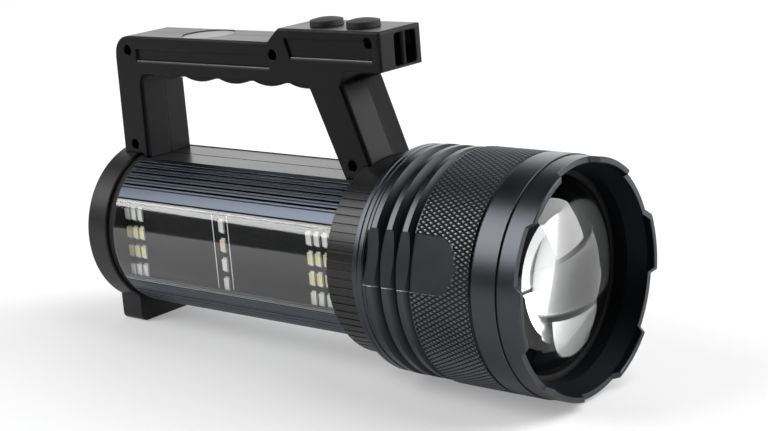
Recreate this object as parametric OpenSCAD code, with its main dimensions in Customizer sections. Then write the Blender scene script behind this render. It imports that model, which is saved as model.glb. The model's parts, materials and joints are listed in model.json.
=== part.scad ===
// Rechargeable searchlight: a sliding zoom head on a finned body with lamps along
// both sides, and a two-part carrying handle on top. All sizes are in millimetres.
// Pieces are drawn along the beam axis, with the bezel's crests at x = 0 and the
// beam towards +X, and at_rest() then lays the torch on its foot and its first fin.

/* [Bezel and lens] */
// Step from the head's smooth ring down to the bezel
bezel_drop = 0.4; // [0.2:0.1:1.4]
// Length of the bezel in front of its seam
bezel_len = 9.4; // [8:0.1:12]
// Thickness of the bezel's rim
bezel_wall = 2.2; // [1.6:0.1:2.8]
// Number of notches in the rim
notch_count = 6; // [4:1:8]
// Depth of a notch
notch_depth = 2.7; // [1.5:0.1:4]
// Width of a notch at its floor
notch_w = 19.8; // [14:0.1:21]
// Angle of the first notch above the horizontal
notch_angle = 25.5; // [0:0.5:60]
// Distance of the lens edge behind the crests
lens_set = 16.4; // [15:0.1:19]
// Thickness of the lens edge
lens_edge = 2.8; // [2:0.1:4]
// Height of the lens dome
lens_dome = 13; // [8:0.1:14]
// Step from the head's bore out to the seat that holds the lens
seat_step = 2.2; // [1.6:0.1:2.6]
// Lap of the retaining ring over the lens
lens_lap = 3.8; // [3:0.1:6]
// Thickness of the lens retaining ring
retainer_t = 1.4; // [1:0.1:2]
// Thickness of the lens seal
seal_t = 0.4; // [0.3:0.1:1]

/* [Head] */
// Length of the head from the crests to its rear face
head_len = 75; // [73:0.5:82]
// Radius of the smooth ring behind the bezel
head_r = 42.9; // [40:0.1:47]
// Length of the smooth ring
ring_len = 10.1; // [6:0.1:14]
// Step from the smooth ring down to the knurled grip
knurl_drop = 0.45; // [0.3:0.05:1]
// Step from the smooth ring down to the fins
fin_drop = 0.5; // [0:0.1:1]
// Distance from one fin to the next
fin_pitch = 7; // [5.5:0.1:7.7]
// Number of grooves between the fins and the grip
fin_grooves = 3; // [2:1:3]
// Width of a fin's crest
fin_crest = 2.2; // [1.5:0.1:3.5]
// Depth of the grooves
fin_depth = 2.3; // [1.5:0.1:2.6]
// Step from the fins down to the flange behind them
flange_drop = 0.3; // [0.25:0.05:1]
// Length of the flange and of the ring behind it
flange_len = 6.7; // [6:0.1:7.4]
// Thickness of the head's wall from its bore out to the smooth ring
head_wall = 6.1; // [5.6:0.1:7]
// Number of thumb flats
flat_count = 3; // [2:1:4]
// Angle of the first thumb flat above the horizontal
flat_angle = 16; // [0:1:90]
// Width of a thumb flat
flat_w = 20.4; // [14:0.1:20.8]
// Depth of a thumb flat below the fins
flat_depth = 1.65; // [1:0.05:2]
// Length of a thumb flat in front of the grooves
flat_len = 20.4; // [14:0.1:24]

/* [Zoom] */
// Travel of the head along the beam axis
zoom_travel = 10; // [6:0.5:12]
// Length of the guide that the head slides on
guide_len = 13; // [11:0.5:16]
// Length of the ring that stops the head
stop_len = 3.6; // [2.5:0.1:4.5]
// Step from the head's bore to the barrel behind the guide
barrel_step = 1.6; // [1.2:0.1:2]
// Thickness of the barrel's wall behind the guide
barrel_wall = 2.6; // [2.2:0.1:3.5]
// Radius of an O-ring's section
oring_r = 1; // [0.8:0.05:1.2]
// Running gap between the head and what it slides on
slide_gap = 0.4; // [0.3:0.05:0.5]
// Running gap between the head's bore and the O-rings
oring_gap = 0.32; // [0.28:0.02:0.4]
// Gap between the head and the collar when the head is all the way in
head_gap = 0.6; // [0.4:0.05:1]

/* [Main lamp] */
// Thickness of the heatsink disc
sink_t = 9; // [6:0.5:14]
// Height of the heatsink's pedestal
sink_step = 2; // [1:0.5:4]
// Radius of the lamp board
lamp_board_r = 11.5; // [8:0.5:16]
// Thickness of a circuit board
board_t = 1.4; // [1:0.1:1.8]
// Width of the emitter
emitter_w = 7; // [5:0.5:10]
// Thickness of the emitter's base
emitter_t = 1; // [0.6:0.1:2]

/* [Collar] */
// Thickness of the collar round the barrel and the body
collar_wall = 2.3; // [1.8:0.1:4]
// Length of the collar
collar_len = 13.4; // [10:0.1:16]
// Number of ribs if they ran all round the collar
collar_ribs = 72; // [48:4:96]
// Depth of the grooves between ribs
rib_depth = 0.6; // [0.3:0.1:1]
// Width of the grooves between ribs
rib_gap = 0.7; // [0.4:0.1:1.2]
// Height above the horizontal where the ribs end, in degrees
rib_end = 54; // [40:1:60]
// Length of the body inside the collar
body_lap = 5; // [4:0.5:8]

/* [Body] */
// Length of the body behind the collar
body_len = 118.6; // [112:0.5:140]
// Depth of the body's sides from its surface to the back of a side board
side_depth = 9.4; // [8.8:0.1:11]
// Wall between the battery bore and a side board
board_wall = 1.6; // [1:0.1:3]
// Number of cooling grooves in each quarter
groove_count = 5; // [3:1:5]
// Angle of the first cooling groove
groove_angle = 42; // [40:0.5:43]
// Angle between cooling grooves
groove_step_angle = 5; // [4.4:0.1:5.2]
// Width of a cooling groove
groove_w = 0.9; // [0.6:0.1:1.1]
// Depth of a cooling groove
groove_depth = 1.5; // [0.8:0.1:2]
// Width of the fine groove in each rib
fine_w = 0.5; // [0.3:0.1:0.6]
// Depth of the fine groove in each rib
fine_depth = 0.6; // [0.3:0.1:1]
// Width of the groove along a window's edges
edge_w = 0.8; // [0.4:0.1:1]
// Distance of the top rail's face below the top of the body
rail_drop = 3; // [2.6:0.1:3.6]
// Width of the top rail
rail_w = 26; // [25:0.5:27]
// Thickness of the top rail
rail_t = 2; // [1.5:0.1:3]

/* [Side lamps] */
// Height of a side window
window_h = 33.6; // [32.8:0.1:34.4]
// Thickness of a side window
window_t = 1.8; // [1.4:0.1:2]
// Width of the ledge that carries a window's edge
window_ledge = 0.9; // [0.6:0.1:1.2]
// Width of a chip along the body
chip_w = 3; // [2:0.1:3.5]
// Height of a chip
chip_h = 5.5; // [4:0.1:6]
// Thickness of a chip
chip_t = 0.9; // [0.5:0.1:1]
// Distance between columns of chips
chip_pitch = 4; // [3.6:0.1:4.5]
// Distance between rows of chips
row_pitch = 7.7; // [6.5:0.1:8]
// Height of the rows' middle above the beam axis
row_mid = -1.2; // [-1.4:0.1:1.4]
// Distance from the body's rear end to the first column of chips
rear_chip_set = 2; // [1.8:0.1:8]
// Distance from the collar to the last column of chips
front_chip_set = 10.5; // [4:0.5:16]

/* [Rear cap] */
// Step from the body out to the rear cap
cap_step = 0.7; // [0.2:0.1:2]
// Length of the rear cap
cap_len = 11.3; // [9:0.1:14]
// Thickness of the cap's rear wall
cap_wall = 4; // [3:0.1:6]
// Thickness of the gasket
gasket_t = 3.9; // [2:0.1:5]
// Step from the body down to the gasket
gasket_drop = 0.8; // [0:0.1:1.4]
// Width of the foot
foot_w = 38.8; // [30:0.5:44]
// Height of the foot's sole below the cap
foot_h = 4.7; // [2.6:0.1:7]
// Radius of the foot's lower corners
foot_round = 2.5; // [1:0.1:4]
// Length of a cap screw
cap_screw_len = 24; // [20:0.5:30]
// Radius of a cap screw's head
cap_head_r = 2.5; // [2.2:0.1:2.8]

/* [Batteries] */
// Radius of a cell
cell_r = 9.1; // [8.8:0.1:9.2]
// Length of a cell
cell_len = 65; // [60:0.5:70]
// Distance from the beam axis to the cells
cell_gap = 2; // [1.5:0.1:3]
// Room round the cells in the battery bore
bore_spare = 1.8; // [1:0.1:3]
// Distance from the body's rear end to the cells
cell_start = 18; // [10:0.5:26]
// Length of a cell that stands out of the cradle at each end
cell_proud = 2; // [1:0.5:5]
// Thickness of a bus plate
bus_t = 0.8; // [0.5:0.1:1.5]
// Distance from the body's front end to the driver board
driver_set = 12; // [6:0.5:24]

/* [Handle] */
// Width over both halves of the handle
handle_w = 23.6; // [22:0.2:26]
// Thickness of the handle's side walls
side_wall = 2.5; // [2:0.1:3]
// Thickness of the handle's other walls
shell = 2.4; // [2:0.1:2.8]
// Height of the hand gap below the grip
gap_h = 34.7; // [30:0.1:40]
// Height of the grip
grip_h = 15.1; // [14:0.1:17]
// Height of the switch block's top above the grip
block_rise = 5.4; // [4.8:0.1:8]
// Height of the switch block at its front
block_h = 14.9; // [14.4:0.1:15.4]
// Length of the switch block's top
block_len = 49; // [48:0.5:54]
// Length of the slope from the grip up to the switch block
step_run = 6; // [4:0.5:9]
// Reach of the switch block in front of the collar's rear face
block_reach = 12; // [10:0.5:14]
// Length of the switch block's overhang in front of the leg
overhang = 17.8; // [16:0.1:19]
// Distance from the cap's rear face to the rear leg
rear_leg_set = 5.3; // [4.5:0.1:6]
// Thickness of the rear leg
rear_leg_t = 12.6; // [12:0.1:14]
// Lean of the rear leg over its height
rear_leg_lean = 0.9; // [0:0.1:2]
// Lap of the front leg over the collar
front_leg_lap = 4.3; // [3:0.1:6]
// Thickness of the front leg at its foot
front_foot_t = 13.6; // [13:0.1:15]
// Thickness of the front leg at its top
front_knee_t = 15.2; // [14.5:0.1:17]
// Lean of the front leg over its height
front_leg_lean = 13.1; // [11:0.1:15]
// Step round the front leg's raised face
face_step = 1.2; // [0.4:0.1:2]
// Rise of the front leg's face towards the seam between the halves
face_crown = 1.8; // [0.6:0.1:2.4]
// Rim beside the legs' raised faces
face_rim = 0.9; // [0.4:0.1:2]
// Step round the rear leg's raised face
rear_face_step = 1; // [0.4:0.1:1.6]
// Rise of the rear leg's face towards the seam between the halves
rear_face_crown = 0.5; // [0.2:0.1:1.2]
// Radius of the grip's rear corner
corner_r = 8; // [5:0.5:9]
// Round of the handle's outer edges
handle_edge_r = 1; // [0.6:0.1:1.4]
// Radius of the hand gap's corners
gap_r = 4.5; // [3:0.5:6]
// Number of finger ridges under the grip
ridge_count = 5; // [3:1:5]
// Distance from the last finger ridge to the rear leg
ridge_tail = 15; // [13:0.1:20]
// Length of a finger ridge
ridge_len = 18; // [13:0.1:18.4]
// Height of a finger ridge
ridge_h = 1.9; // [1.2:0.1:2.5]
// Distance of a finger ridge from the handle's side
ridge_inset = 1.4; // [0.8:0.1:3]
// Depth of the side panels
panel_depth = 0.9; // [0.4:0.1:1.2]
// Height of the grip's side panels
panel_h = 5.4; // [4:0.1:6]
// Rim round the switch block's side panels
panel_rim = 3.6; // [3:0.1:4.5]
// Rim beside the inlay on the grip
inlay_rim = 1.4; // [1.2:0.1:4]
// Distance of the inlay in front of the rear leg's rear face
inlay_set = 42.5; // [30:0.5:60]
// Thickness of the inlay
inlay_t = 0.9; // [0.6:0.1:1.2]
// Depth of the inlay's face below the grip
inlay_drop = 0.3; // [0.1:0.1:0.5]

/* [Strap slot] */
// Width of the strap slot
slot_w = 12.4; // [11.6:0.1:13]
// Distance of the strap slot's middle to the left of the seam
slot_mid = 2.4; // [2:0.1:2.8]
// Radius of the strap slot's corners
slot_round = 1.5; // [0.8:0.1:2.5]
// Depth of the strap slot behind the bar
slot_depth = 7.5; // [7.2:0.1:7.8]
// Depth of the strap slot's upper part
slot_lip = 3; // [2.8:0.1:3.2]
// Height of the strap slot
slot_h = 12.1; // [11.6:0.1:12.4]
// Height of the strap slot behind the bar
slot_deep_h = 7.1; // [6.6:0.1:7.3]
// Radius of the strap bar
bar_r = 1.3; // [1.1:0.05:1.35]
// Depth of the strap bar's middle in the slot
bar_set = 1.6; // [1.5:0.1:1.8]

/* [Buttons] */
// Radius of a button
button_r = 6.3; // [5:0.1:6.6]
// Height of a button above the switch block
button_h = 2.95; // [2:0.05:4]
// Height of a button's dome
button_dome = 0.95; // [0.4:0.05:1.2]
// Travel of a button
button_travel = 1.2; // [0.8:0.1:1.4]
// Distance between the buttons
button_pitch = 17.9; // [16:0.1:18]
// Distance from the block's front face to the front button
button_set = 16.9; // [16.8:0.1:18]
// Running gap round a button
button_gap = 0.3; // [0.25:0.05:0.4]
// Width of a button's lip inside the block
button_lip = 0.8; // [0.6:0.1:0.9]

/* [Screws] */
// Radius of a screw's shank
screw_r = 1.45; // [1.2:0.05:1.6]
// Radius of a handle screw's head
screw_head_r = 2; // [1.8:0.1:2.2]
// Height of a handle screw's head
screw_head_h = 1.8; // [1.2:0.1:2.4]
// Length of a handle screw below its head
screw_len = 13.6; // [12:0.1:14]
// Depth of a handle screw's head in the handle
screw_sink = 4.2; // [3.6:0.1:4.6]
// Radius of a screw boss
boss_r = 3.4; // [3:0.1:3.6]
// Clearance of a hole round what goes in it
hole_gap = 0.15; // [0.1:0.05:0.2]

/* [Hidden] */
$fn = 96;

// Overlap of a cutting shape past the face that it cuts
cut = 1;
// Chamfer on turned edges, and the finer one at the seams round the head
chamfer = 0.4;
edge_break = 0.15;
// Width and depth of the fine seams round the head
seam = 0.5;
// Clearance of a piece in its seat
fit_gap = 0.05;
// Step from the lens that shows to the bezel's throat
throat_step = 2;
// Slope of a notch's sides
notch_slope = 0.6;
// Step from the flange down to the ring behind it
flange_step = 2.5;
// Length of that ring
rear_ring_len = 2.8;
// Depth and length of the relief between the flange and the fins
relief_depth = 0.6;
relief_len = 1.3;
// Depth of the fine line round the flange
line_depth = 0.35;
// Run of the last groove's wall up to the grip, and the smooth land there
grip_wall = 1.4;
grip_land = 0.4;
// Width of the groove between the grip and the smooth ring
grip_seam = 1;
// Room past the outermost radius for cutting shapes
reach = 20;

// Distance from the flange to the middle of the first groove
first_groove = 6.9;
// Length of the guide that stays behind the stop when the head is all the way out
zoom_spare = 1;

// Stations along the beam axis, front to rear
sleeve_front = -bezel_len - seam;
lens_front = -lens_set;
lens_back = lens_front - lens_edge;
seal_back = lens_back - seal_t;
retainer_front = lens_front + retainer_t;
ring_rear = sleeve_front - ring_len;
head_rear = -head_len;
stop_front = head_rear + stop_len;
fin_rear = head_rear + flange_len;
groove_half = (fin_pitch - fin_crest) / 2;
fin_contact = fin_rear + first_groove - groove_half - fin_crest;
flat_rear = fin_rear + chamfer;
flat_front = groove_x(fin_grooves - 1) + flat_len;
guide_rear = stop_front + zoom_travel + zoom_spare;
guide_front = guide_rear + guide_len;
collar_front = head_rear - head_gap;
collar_rear = collar_front - collar_len;
body_front = collar_rear + body_lap;
body_rear = collar_rear - body_len;
cap_front = body_rear - gasket_t;
cap_rear = cap_front - cap_len;

// Radii of the head and of what it slides on
bezel_r = head_r - bezel_drop;
knurl_r = head_r - knurl_drop;
fin_r = head_r - fin_drop;
flange_r = fin_r - flange_drop;
bore_r = head_r - head_wall;
seat_r = bore_r + seat_step;
lens_view_r = seat_r - lens_lap;
guide_r = bore_r - slide_gap;
barrel_r = bore_r - barrel_step;
barrel_bore = barrel_r - barrel_wall;
oring_mid = bore_r - oring_gap - oring_r;
stop_r = bore_r + barrel_step - slide_gap;
sphere_r = (lens_view_r * lens_view_r + lens_dome * lens_dome) / (2 * lens_dome);

// Radii and heights of the body, from the cells outwards
cell_set = cell_r + cell_gap;
battery_bore_r = cell_set + cell_r + bore_spare;
board_set = battery_bore_r + board_wall;
body_r = board_set + side_depth;
rail_top = body_r - rail_drop;
gasket_r = body_r - gasket_drop;
cap_r = body_r + cap_step;
foot_drop = cap_r + foot_h;
cap_screw_set = (battery_bore_r + body_r) / 2;
collar_r = max(barrel_r, body_r) + collar_wall;

// The floor runs under the first fin and the foot
foot_mid = (cap_front + cap_rear) / 2;
rest_tilt = atan2(fin_r - foot_drop, fin_contact - foot_mid);
rest_x = (cap_r * sin(rest_tilt) - cap_rear * cos(rest_tilt) - bezel_r * sin(rest_tilt)) / 2;
rest_z = fin_r * cos(rest_tilt) - fin_contact * sin(rest_tilt);

// Body and side lamps
pocket_h = window_h - 2 * window_ledge;
edge_angle = asin((window_h / 2 + 0.3 * edge_w) / body_r);
board_face = board_set + board_t;
rear_columns = [for (k = [0 : 2]) body_rear + rear_chip_set + k * chip_pitch];
front_columns = [for (k = [0 : 2]) collar_rear - front_chip_set - k * chip_pitch];
mid_column = (rear_columns[1] + front_columns[1]) / 2;
columns = concat(rear_columns, [mid_column], front_columns);
rows = [for (k = [1.5, 0.5, -0.5, -1.5]) row_mid + k * row_pitch];
cap_screw_angles = [45, 135, 225, 315];

// Handle
grip_under = rail_top + gap_h;
grip_top = grip_under + grip_h;
block_top = grip_top + block_rise;
block_under = block_top - block_h;
half_w = handle_w / 2;
cavity_w = half_w - side_wall;
inlay_r = half_w - inlay_rim;
rear_x = cap_rear + rear_leg_set;
block_front = collar_rear + block_reach;
block_rear = block_front - block_len;
step_x = block_rear - step_run;
foot_front_x = collar_rear + front_leg_lap;
leg_wall = 1.1 * shell;
// Wall between the strap slot and the hollow, and the wall below the slot
slot_wall = 1.9;
slot_sole = 1.1;
// Length of the strap bar's ends in the walls
bar_end = 0.5;
cavity_front = block_front - slot_depth - slot_wall;
slot_floor = block_under + slot_sole;
inlay_x = rear_x + inlay_set;
// Distance of the first ridge from the front leg
ridge_lead = 2.4;
first_ridge = leg_back(grip_under) - ridge_lead;
last_ridge = rear_leg(grip_under, rear_leg_t) + ridge_tail;
ridge_r = (ridge_len * ridge_len / 4 + ridge_h * ridge_h) / (2 * ridge_h);
// Distance of the side panels from the grip's top and rear, and the lean of the block's panel
panel_drop = 5;
panel_set = 12;
panel_lean = 2.5;

// Buttons, with the lips that hold them in, and the key switches below them
rear_button_x = block_front - button_set - button_pitch;
front_button_x = block_front - button_set;
lip_t = 0.9;
lip_top = block_top - shell - button_gap;
key_h = 2.4;
key_w = 6;
key_stem = 1;
key_top = lip_top - lip_t - button_travel - button_gap / 2;
keys_z = key_top - key_stem - key_h;
switch_z = keys_z - board_t;
ledge_w = 1.9;

// Posts on the cap and the rail that the handle's legs are screwed to
post_half = 4.4;
post_h = 10;
post_bend = rail_top + (grip_under - rail_top) * (front_leg_lap - leg_wall) / front_leg_lean;
boss_in = post_half + hole_gap;
// Screws from the grip's rear top corner, the step and the block's front top corner
rear_screw = [7.3, 5.7];
step_screw = [2, 4.7];
block_screw = [5.7, 4.3];
// Height of the leg screws above the rail, and their distance from the rear and front legs' rear faces
leg_screw_up = 5.3;
leg_screw_z = rail_top + leg_screw_up;
rear_screw_set = 5.5;
front_screw_set = 5.9;
// Screws as [x, z, whether the screw passes through a post]
screws = [
    [rear_x + rear_screw.x, grip_top - rear_screw.y, false],
    [step_x + step_screw.x, grip_top - step_screw.y, false],
    [block_front - block_screw.x, block_top - block_screw.y, false],
    [rear_x + rear_screw_set, leg_screw_z, true],
    [leg_back(leg_screw_z) + front_screw_set, leg_screw_z, true]
];
screw_seat = -half_w + screw_sink + screw_head_h;

function groove_x(k) = fin_rear + first_groove + k * fin_pitch;
function along(z, low, high) = low + (high - low) * (z - rail_top) / (grip_under - rail_top);
function leg_front(z) = along(z, foot_front_x, foot_front_x - front_leg_lean);
function leg_back(z) =
    along(z, foot_front_x - front_foot_t, foot_front_x - front_leg_lean - front_knee_t);
function rear_leg(z, offset) =
    rear_x + offset - rear_leg_lean * (grip_top - z) / (grip_top - rail_top);

// Lays a piece that is drawn along the beam axis on the floor
module at_rest() {
    translate([rest_x, 0, rest_z]) rotate([0, -rest_tilt, 0]) children();
}

// Round bar along the beam axis
module rod_x(x0, x1, r) {
    translate([x0, 0, 0]) rotate([0, 90, 0]) cylinder(h = x1 - x0, r = r);
}

// Turned piece from points given as [radius, x]
module turned(points) {
    rotate([0, 90, 0]) rotate_extrude() polygon(points);
}

// Block between two opposite corners
module block(low, high) {
    translate(low) cube(high - low);
}

// Side view in x and z drawn through the width from y0 to y1
module through_y(y0, y1) {
    translate([0, y1, 0]) rotate([90, 0, 0]) linear_extrude(y1 - y0) children();
}

// Round bar across the width
module rod_y(x, z, y0, y1, r) {
    translate([x, y1, z]) rotate([90, 0, 0]) cylinder(h = y1 - y0, r = r);
}

// Turns a shape on the right-hand side up round the beam axis
module around(angle) {
    rotate([-angle, 0, 0]) children();
}

module bezel_ring() {
    mouth = bezel_r - bezel_wall;
    throat = lens_view_r + throat_step;
    notch_half = notch_w / 2;
    notch_out = notch_half + notch_slope * notch_depth + cut;
    color("#2b2d31") at_rest() difference() {
        turned([
            [mouth + chamfer, 0], [bezel_r - chamfer, 0], [bezel_r, -chamfer],
            [bezel_r, edge_break - bezel_len], [bezel_r - edge_break, -bezel_len],
            [bezel_r - 2 * seam, -bezel_len], [bezel_r - 2 * seam, sleeve_front],
            [seat_r - fit_gap, sleeve_front],
            [seat_r - fit_gap, retainer_front], [throat, retainer_front],
            [throat + chamfer, sleeve_front], [mouth, -notch_depth - chamfer],
            [mouth, -chamfer]
        ]);
        for (k = [0 : notch_count - 1]) around(notch_angle + k * 360 / notch_count)
            through_y(-bezel_r - reach, -lens_view_r) polygon([
                [cut, notch_out], [-notch_depth, notch_half],
                [-notch_depth, -notch_half], [cut, -notch_out]
            ]);
    }
}

module lens_retainer() {
    color("#151618") at_rest() turned([
        [lens_view_r + fit_gap, lens_front], [seat_r - hole_gap, lens_front],
        [seat_r - hole_gap, retainer_front], [lens_view_r + chamfer, retainer_front]
    ]);
}

module lens() {
    color("#dfe6ea", 0.4) at_rest() {
        rod_x(lens_back, lens_front, seat_r - hole_gap);
        intersection() {
            translate([lens_front + lens_dome - sphere_r, 0, 0]) sphere(r = sphere_r, $fn = 160);
            rod_x(lens_front - seal_t, lens_front + lens_dome + cut, lens_view_r);
        }
    }
}

module lens_seal() {
    color("#101112") at_rest() turned([
        [bore_r + hole_gap, seal_back], [seat_r - hole_gap, seal_back],
        [seat_r - hole_gap, lens_back], [bore_r + hole_gap, lens_back]
    ]);
}

// Thumb flat with a round front end, cut from the right-hand side
module thumb_flat() {
    face = -fin_r + flat_depth;
    tip = flat_front - flat_w / 2;
    block([flat_rear, -fin_r - reach, -flat_w / 2], [tip, face, flat_w / 2]);
    rod_y(tip, 0, -fin_r - reach, face, flat_w / 2);
}

module head_sleeve() {
    rear_ring = flange_r - flange_step;
    flange_rear = head_rear + rear_ring_len;
    line_x = (flange_rear + fin_rear) / 2;
    last = fin_grooves - 1;
    land_x = groove_x(last) + grip_wall;
    color("#33363c") at_rest() difference() {
        turned(concat(
            [
                [stop_r, head_rear], [rear_ring - chamfer, head_rear], [rear_ring, head_rear + chamfer],
                [rear_ring, flange_rear], [flange_r - edge_break, flange_rear],
                [flange_r, flange_rear + edge_break], [flange_r, line_x - line_depth],
                [flange_r - line_depth, line_x], [flange_r, line_x + line_depth], [flange_r, fin_rear],
                [fin_r - relief_depth, fin_rear], [fin_r - relief_depth, fin_rear + relief_len],
                [fin_r, fin_contact]
            ],
            [for (k = [0 : last]) each [
                [fin_r, groove_x(k) - groove_half], [fin_r - fin_depth, groove_x(k)],
                k < last ? [fin_r, groove_x(k) + groove_half] : [head_r, land_x]
            ]],
            [
                [head_r, land_x + grip_land], [knurl_r, land_x + grip_land],
                [knurl_r, ring_rear - grip_seam], [knurl_r - seam, ring_rear - grip_seam],
                [knurl_r - seam, ring_rear], [head_r - chamfer, ring_rear],
                [head_r, ring_rear + chamfer], [head_r, sleeve_front - edge_break],
                [head_r - edge_break, sleeve_front], [seat_r, sleeve_front], [seat_r, seal_back],
                [bore_r, seal_back], [bore_r, stop_front], [stop_r, stop_front]
            ]
        ));
        for (k = [0 : flat_count - 1]) around(flat_angle + k * 360 / flat_count) thumb_flat();
    }
}

module stop_ring() {
    color("#1c1d20") at_rest() turned([
        [barrel_r + slide_gap, head_rear + chamfer], [stop_r - fit_gap, head_rear + chamfer],
        [stop_r - fit_gap, stop_front], [barrel_r + slide_gap, stop_front]
    ]);
}

// Middle of each seal ring along the guide
function oring_x() = [guide_rear + guide_len / 4, guide_front - guide_len / 4];

module focus_barrel() {
    groove = oring_r + hole_gap;
    lip = min(barrel_bore, body_r) - barrel_wall;
    color("#3a3c40") at_rest() turned(concat(
        [[lip, body_front], [barrel_r, body_front], [barrel_r, guide_rear], [guide_r, guide_rear]],
        [for (x = oring_x()) each [
            [guide_r, x - groove], [oring_mid - oring_r, x - groove],
            [oring_mid - oring_r, x + groove], [guide_r, x + groove]
        ]],
        [
            [guide_r, guide_front], [barrel_bore, guide_front],
            [barrel_bore, body_front + barrel_wall], [lip, body_front + barrel_wall]
        ]
    ));
}

module barrel_seals() {
    color("#0f0f10") at_rest() for (x = oring_x()) rotate([0, 90, 0])
        rotate_extrude() translate([oring_mid, x]) circle(r = oring_r, $fn = 32);
}

module led_heatsink() {
    color("#a9adb2") at_rest() {
        rod_x(guide_front - sink_step - sink_t, guide_front - sink_step, barrel_bore);
        rod_x(guide_front - sink_step - cut, guide_front, lamp_board_r + chamfer);
    }
}

module led_board() {
    color("#e8e8e4") at_rest() rod_x(guide_front, guide_front + board_t, lamp_board_r);
}

module led_emitter() {
    face = guide_front + board_t;
    half = emitter_w / 2;
    color("#f0d860") at_rest() {
        block([face, -half, -half], [face + emitter_t, half, half]);
        intersection() {
            translate([face + emitter_t, 0, 0]) sphere(r = half - chamfer);
            rod_x(face + emitter_t / 2, face + emitter_t + half, half);
        }
    }
}

module front_collar() {
    step = 360 / collar_ribs;
    color("#1d1d1f") at_rest() difference() {
        turned([
            [barrel_r, collar_front], [collar_r - chamfer, collar_front],
            [collar_r, collar_front - chamfer], [collar_r, collar_rear + chamfer],
            [collar_r - chamfer, collar_rear], [body_r, collar_rear], [body_r, body_front],
            [barrel_r, body_front]
        ]);
        for (angle = [-180 - rib_end : step : rib_end]) around(angle)
            block([collar_rear - cut, -collar_r - cut, -rib_gap / 2],
                  [collar_front + cut, -collar_r + rib_depth, rib_gap / 2]);
    }
}

// Space behind a side window, with the ledges that carry the window
module side_pocket() {
    block([body_rear - cut, -body_r - cut, -pocket_h / 2],
          [body_front + cut, -board_set, pocket_h / 2]);
    difference() {
        block([body_rear - cut, -body_r - cut, -window_h / 2],
              [body_front + cut, -board_set, window_h / 2]);
        rod_x(body_rear - 2 * cut, body_front + 2 * cut, body_r - window_t);
    }
}

// Groove along the body at an angle above and below the horizontal
module body_groove(angle, wide, deep) {
    for (up = [1, -1]) around(up * angle)
        block([body_rear - cut, -body_r - cut, -wide / 2], [body_front + cut, -body_r + deep, wide / 2]);
}

module body_extrusion() {
    color("#3b4150") at_rest() difference() {
        rod_x(body_rear, body_front, body_r);
        rod_x(body_rear - cut, body_front + cut, battery_bore_r);
        block([body_rear - cut, -rail_w / 2 - fit_gap, rail_top - rail_t],
              [body_front + cut, rail_w / 2 + fit_gap, body_r + cut]);
        for (side = [0, 1]) mirror([0, side, 0]) {
            side_pocket();
            body_groove(edge_angle, edge_w, window_t / 2);
            for (k = [0 : groove_count - 1]) {
                body_groove(groove_angle + k * groove_step_angle, groove_w, groove_depth);
                body_groove(groove_angle + (k - 0.5) * groove_step_angle, fine_w, fine_depth);
            }
        }
        for (angle = cap_screw_angles) around(angle) translate([0, -cap_screw_set, 0])
            rod_x(body_rear - cut, cap_rear + cap_screw_len + cut, screw_r + hole_gap);
    }
}

module side_window() {
    color("#d8dde0", 0.35) at_rest() intersection() {
        difference() {
            rod_x(body_rear, collar_rear, body_r);
            rod_x(body_rear - cut, collar_rear + cut, body_r - window_t);
        }
        block([body_rear - cut, -body_r - cut, fit_gap - window_h / 2],
              [collar_rear + cut, 0, window_h / 2 - fit_gap]);
    }
}

module side_window_right() {
    side_window();
}

module side_window_left() {
    mirror([0, 1, 0]) side_window();
}

module side_board() {
    color("#17181a") at_rest()
        block([body_rear, -board_face, hole_gap - pocket_h / 2],
              [collar_rear, -board_set, pocket_h / 2 - hole_gap]);
}

module side_board_right() {
    side_board();
}

module side_board_left() {
    mirror([0, 1, 0]) side_board();
}

// Chips of the given rows on both side boards
module chips(heights) {
    at_rest() for (side = [0, 1], x = columns, z = heights) mirror([0, side, 0])
        block([x - chip_w / 2, -board_face - chip_t, z - chip_h / 2],
              [x + chip_w / 2, -board_face, z + chip_h / 2]);
}

module side_leds_cool() {
    color("#f4f4f2") chips([rows[0], rows[3]]);
}

module side_leds_warm() {
    color("#e6e07a") chips([rows[1], rows[2]]);
}

// Post on the rail inside the front leg, as a side view
function front_post(high) = [
    [leg_back(rail_top) + leg_wall + hole_gap, rail_top - rail_t],
    [leg_back(rail_top) + leg_wall + hole_gap, rail_top],
    [leg_back(high) + leg_wall + hole_gap, high],
    [leg_front(high) - leg_wall - hole_gap, high],
    [collar_rear - hole_gap, post_bend],
    [collar_rear - hole_gap, rail_top - rail_t]
];

module top_rail() {
    color("#242527") at_rest() difference() {
        union() {
            block([body_rear, -rail_w / 2, rail_top - rail_t], [collar_rear, rail_w / 2, rail_top]);
            through_y(-post_half, post_half) polygon(front_post(rail_top + post_h));
        }
        block([rear_leg(rail_top, rear_leg_t), -seam / 2, rail_top - seam],
              [leg_back(rail_top), seam / 2, rail_top + cut]);
        rod_y(screws[4].x, screws[4].y, -half_w, half_w, screw_r + hole_gap);
    }
}

module rear_gasket() {
    color("#0c0c0d") at_rest() difference() {
        rod_x(cap_front, body_rear, gasket_r);
        rod_x(cap_front - cut, body_rear + cut, battery_bore_r);
        for (angle = cap_screw_angles) around(angle) translate([0, -cap_screw_set, 0])
            rod_x(cap_front - cut, body_rear + cut, screw_r + hole_gap);
    }
}

// Foot block with rounded lower corners, down past the floor
module foot() {
    half = foot_w / 2;
    sole = -foot_drop - cut;
    difference() {
        block([cap_rear, -half, sole], [cap_front, half, -cap_r / 2]);
        for (side = [-1, 1]) difference() {
            block([cap_rear - cut, side * half - foot_round, sole - cut],
                  [cap_front + cut, side * half + foot_round, foot_round - foot_drop]);
            translate([0, side * (half - foot_round), foot_round - foot_drop])
                rod_x(cap_rear - 2 * cut, cap_front + 2 * cut, foot_round);
            block([cap_rear - cut, side > 0 ? 0 : -half + foot_round, sole - 2 * cut],
                  [cap_front + cut, side > 0 ? half - foot_round : 0, foot_round - foot_drop]);
        }
    }
}

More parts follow.
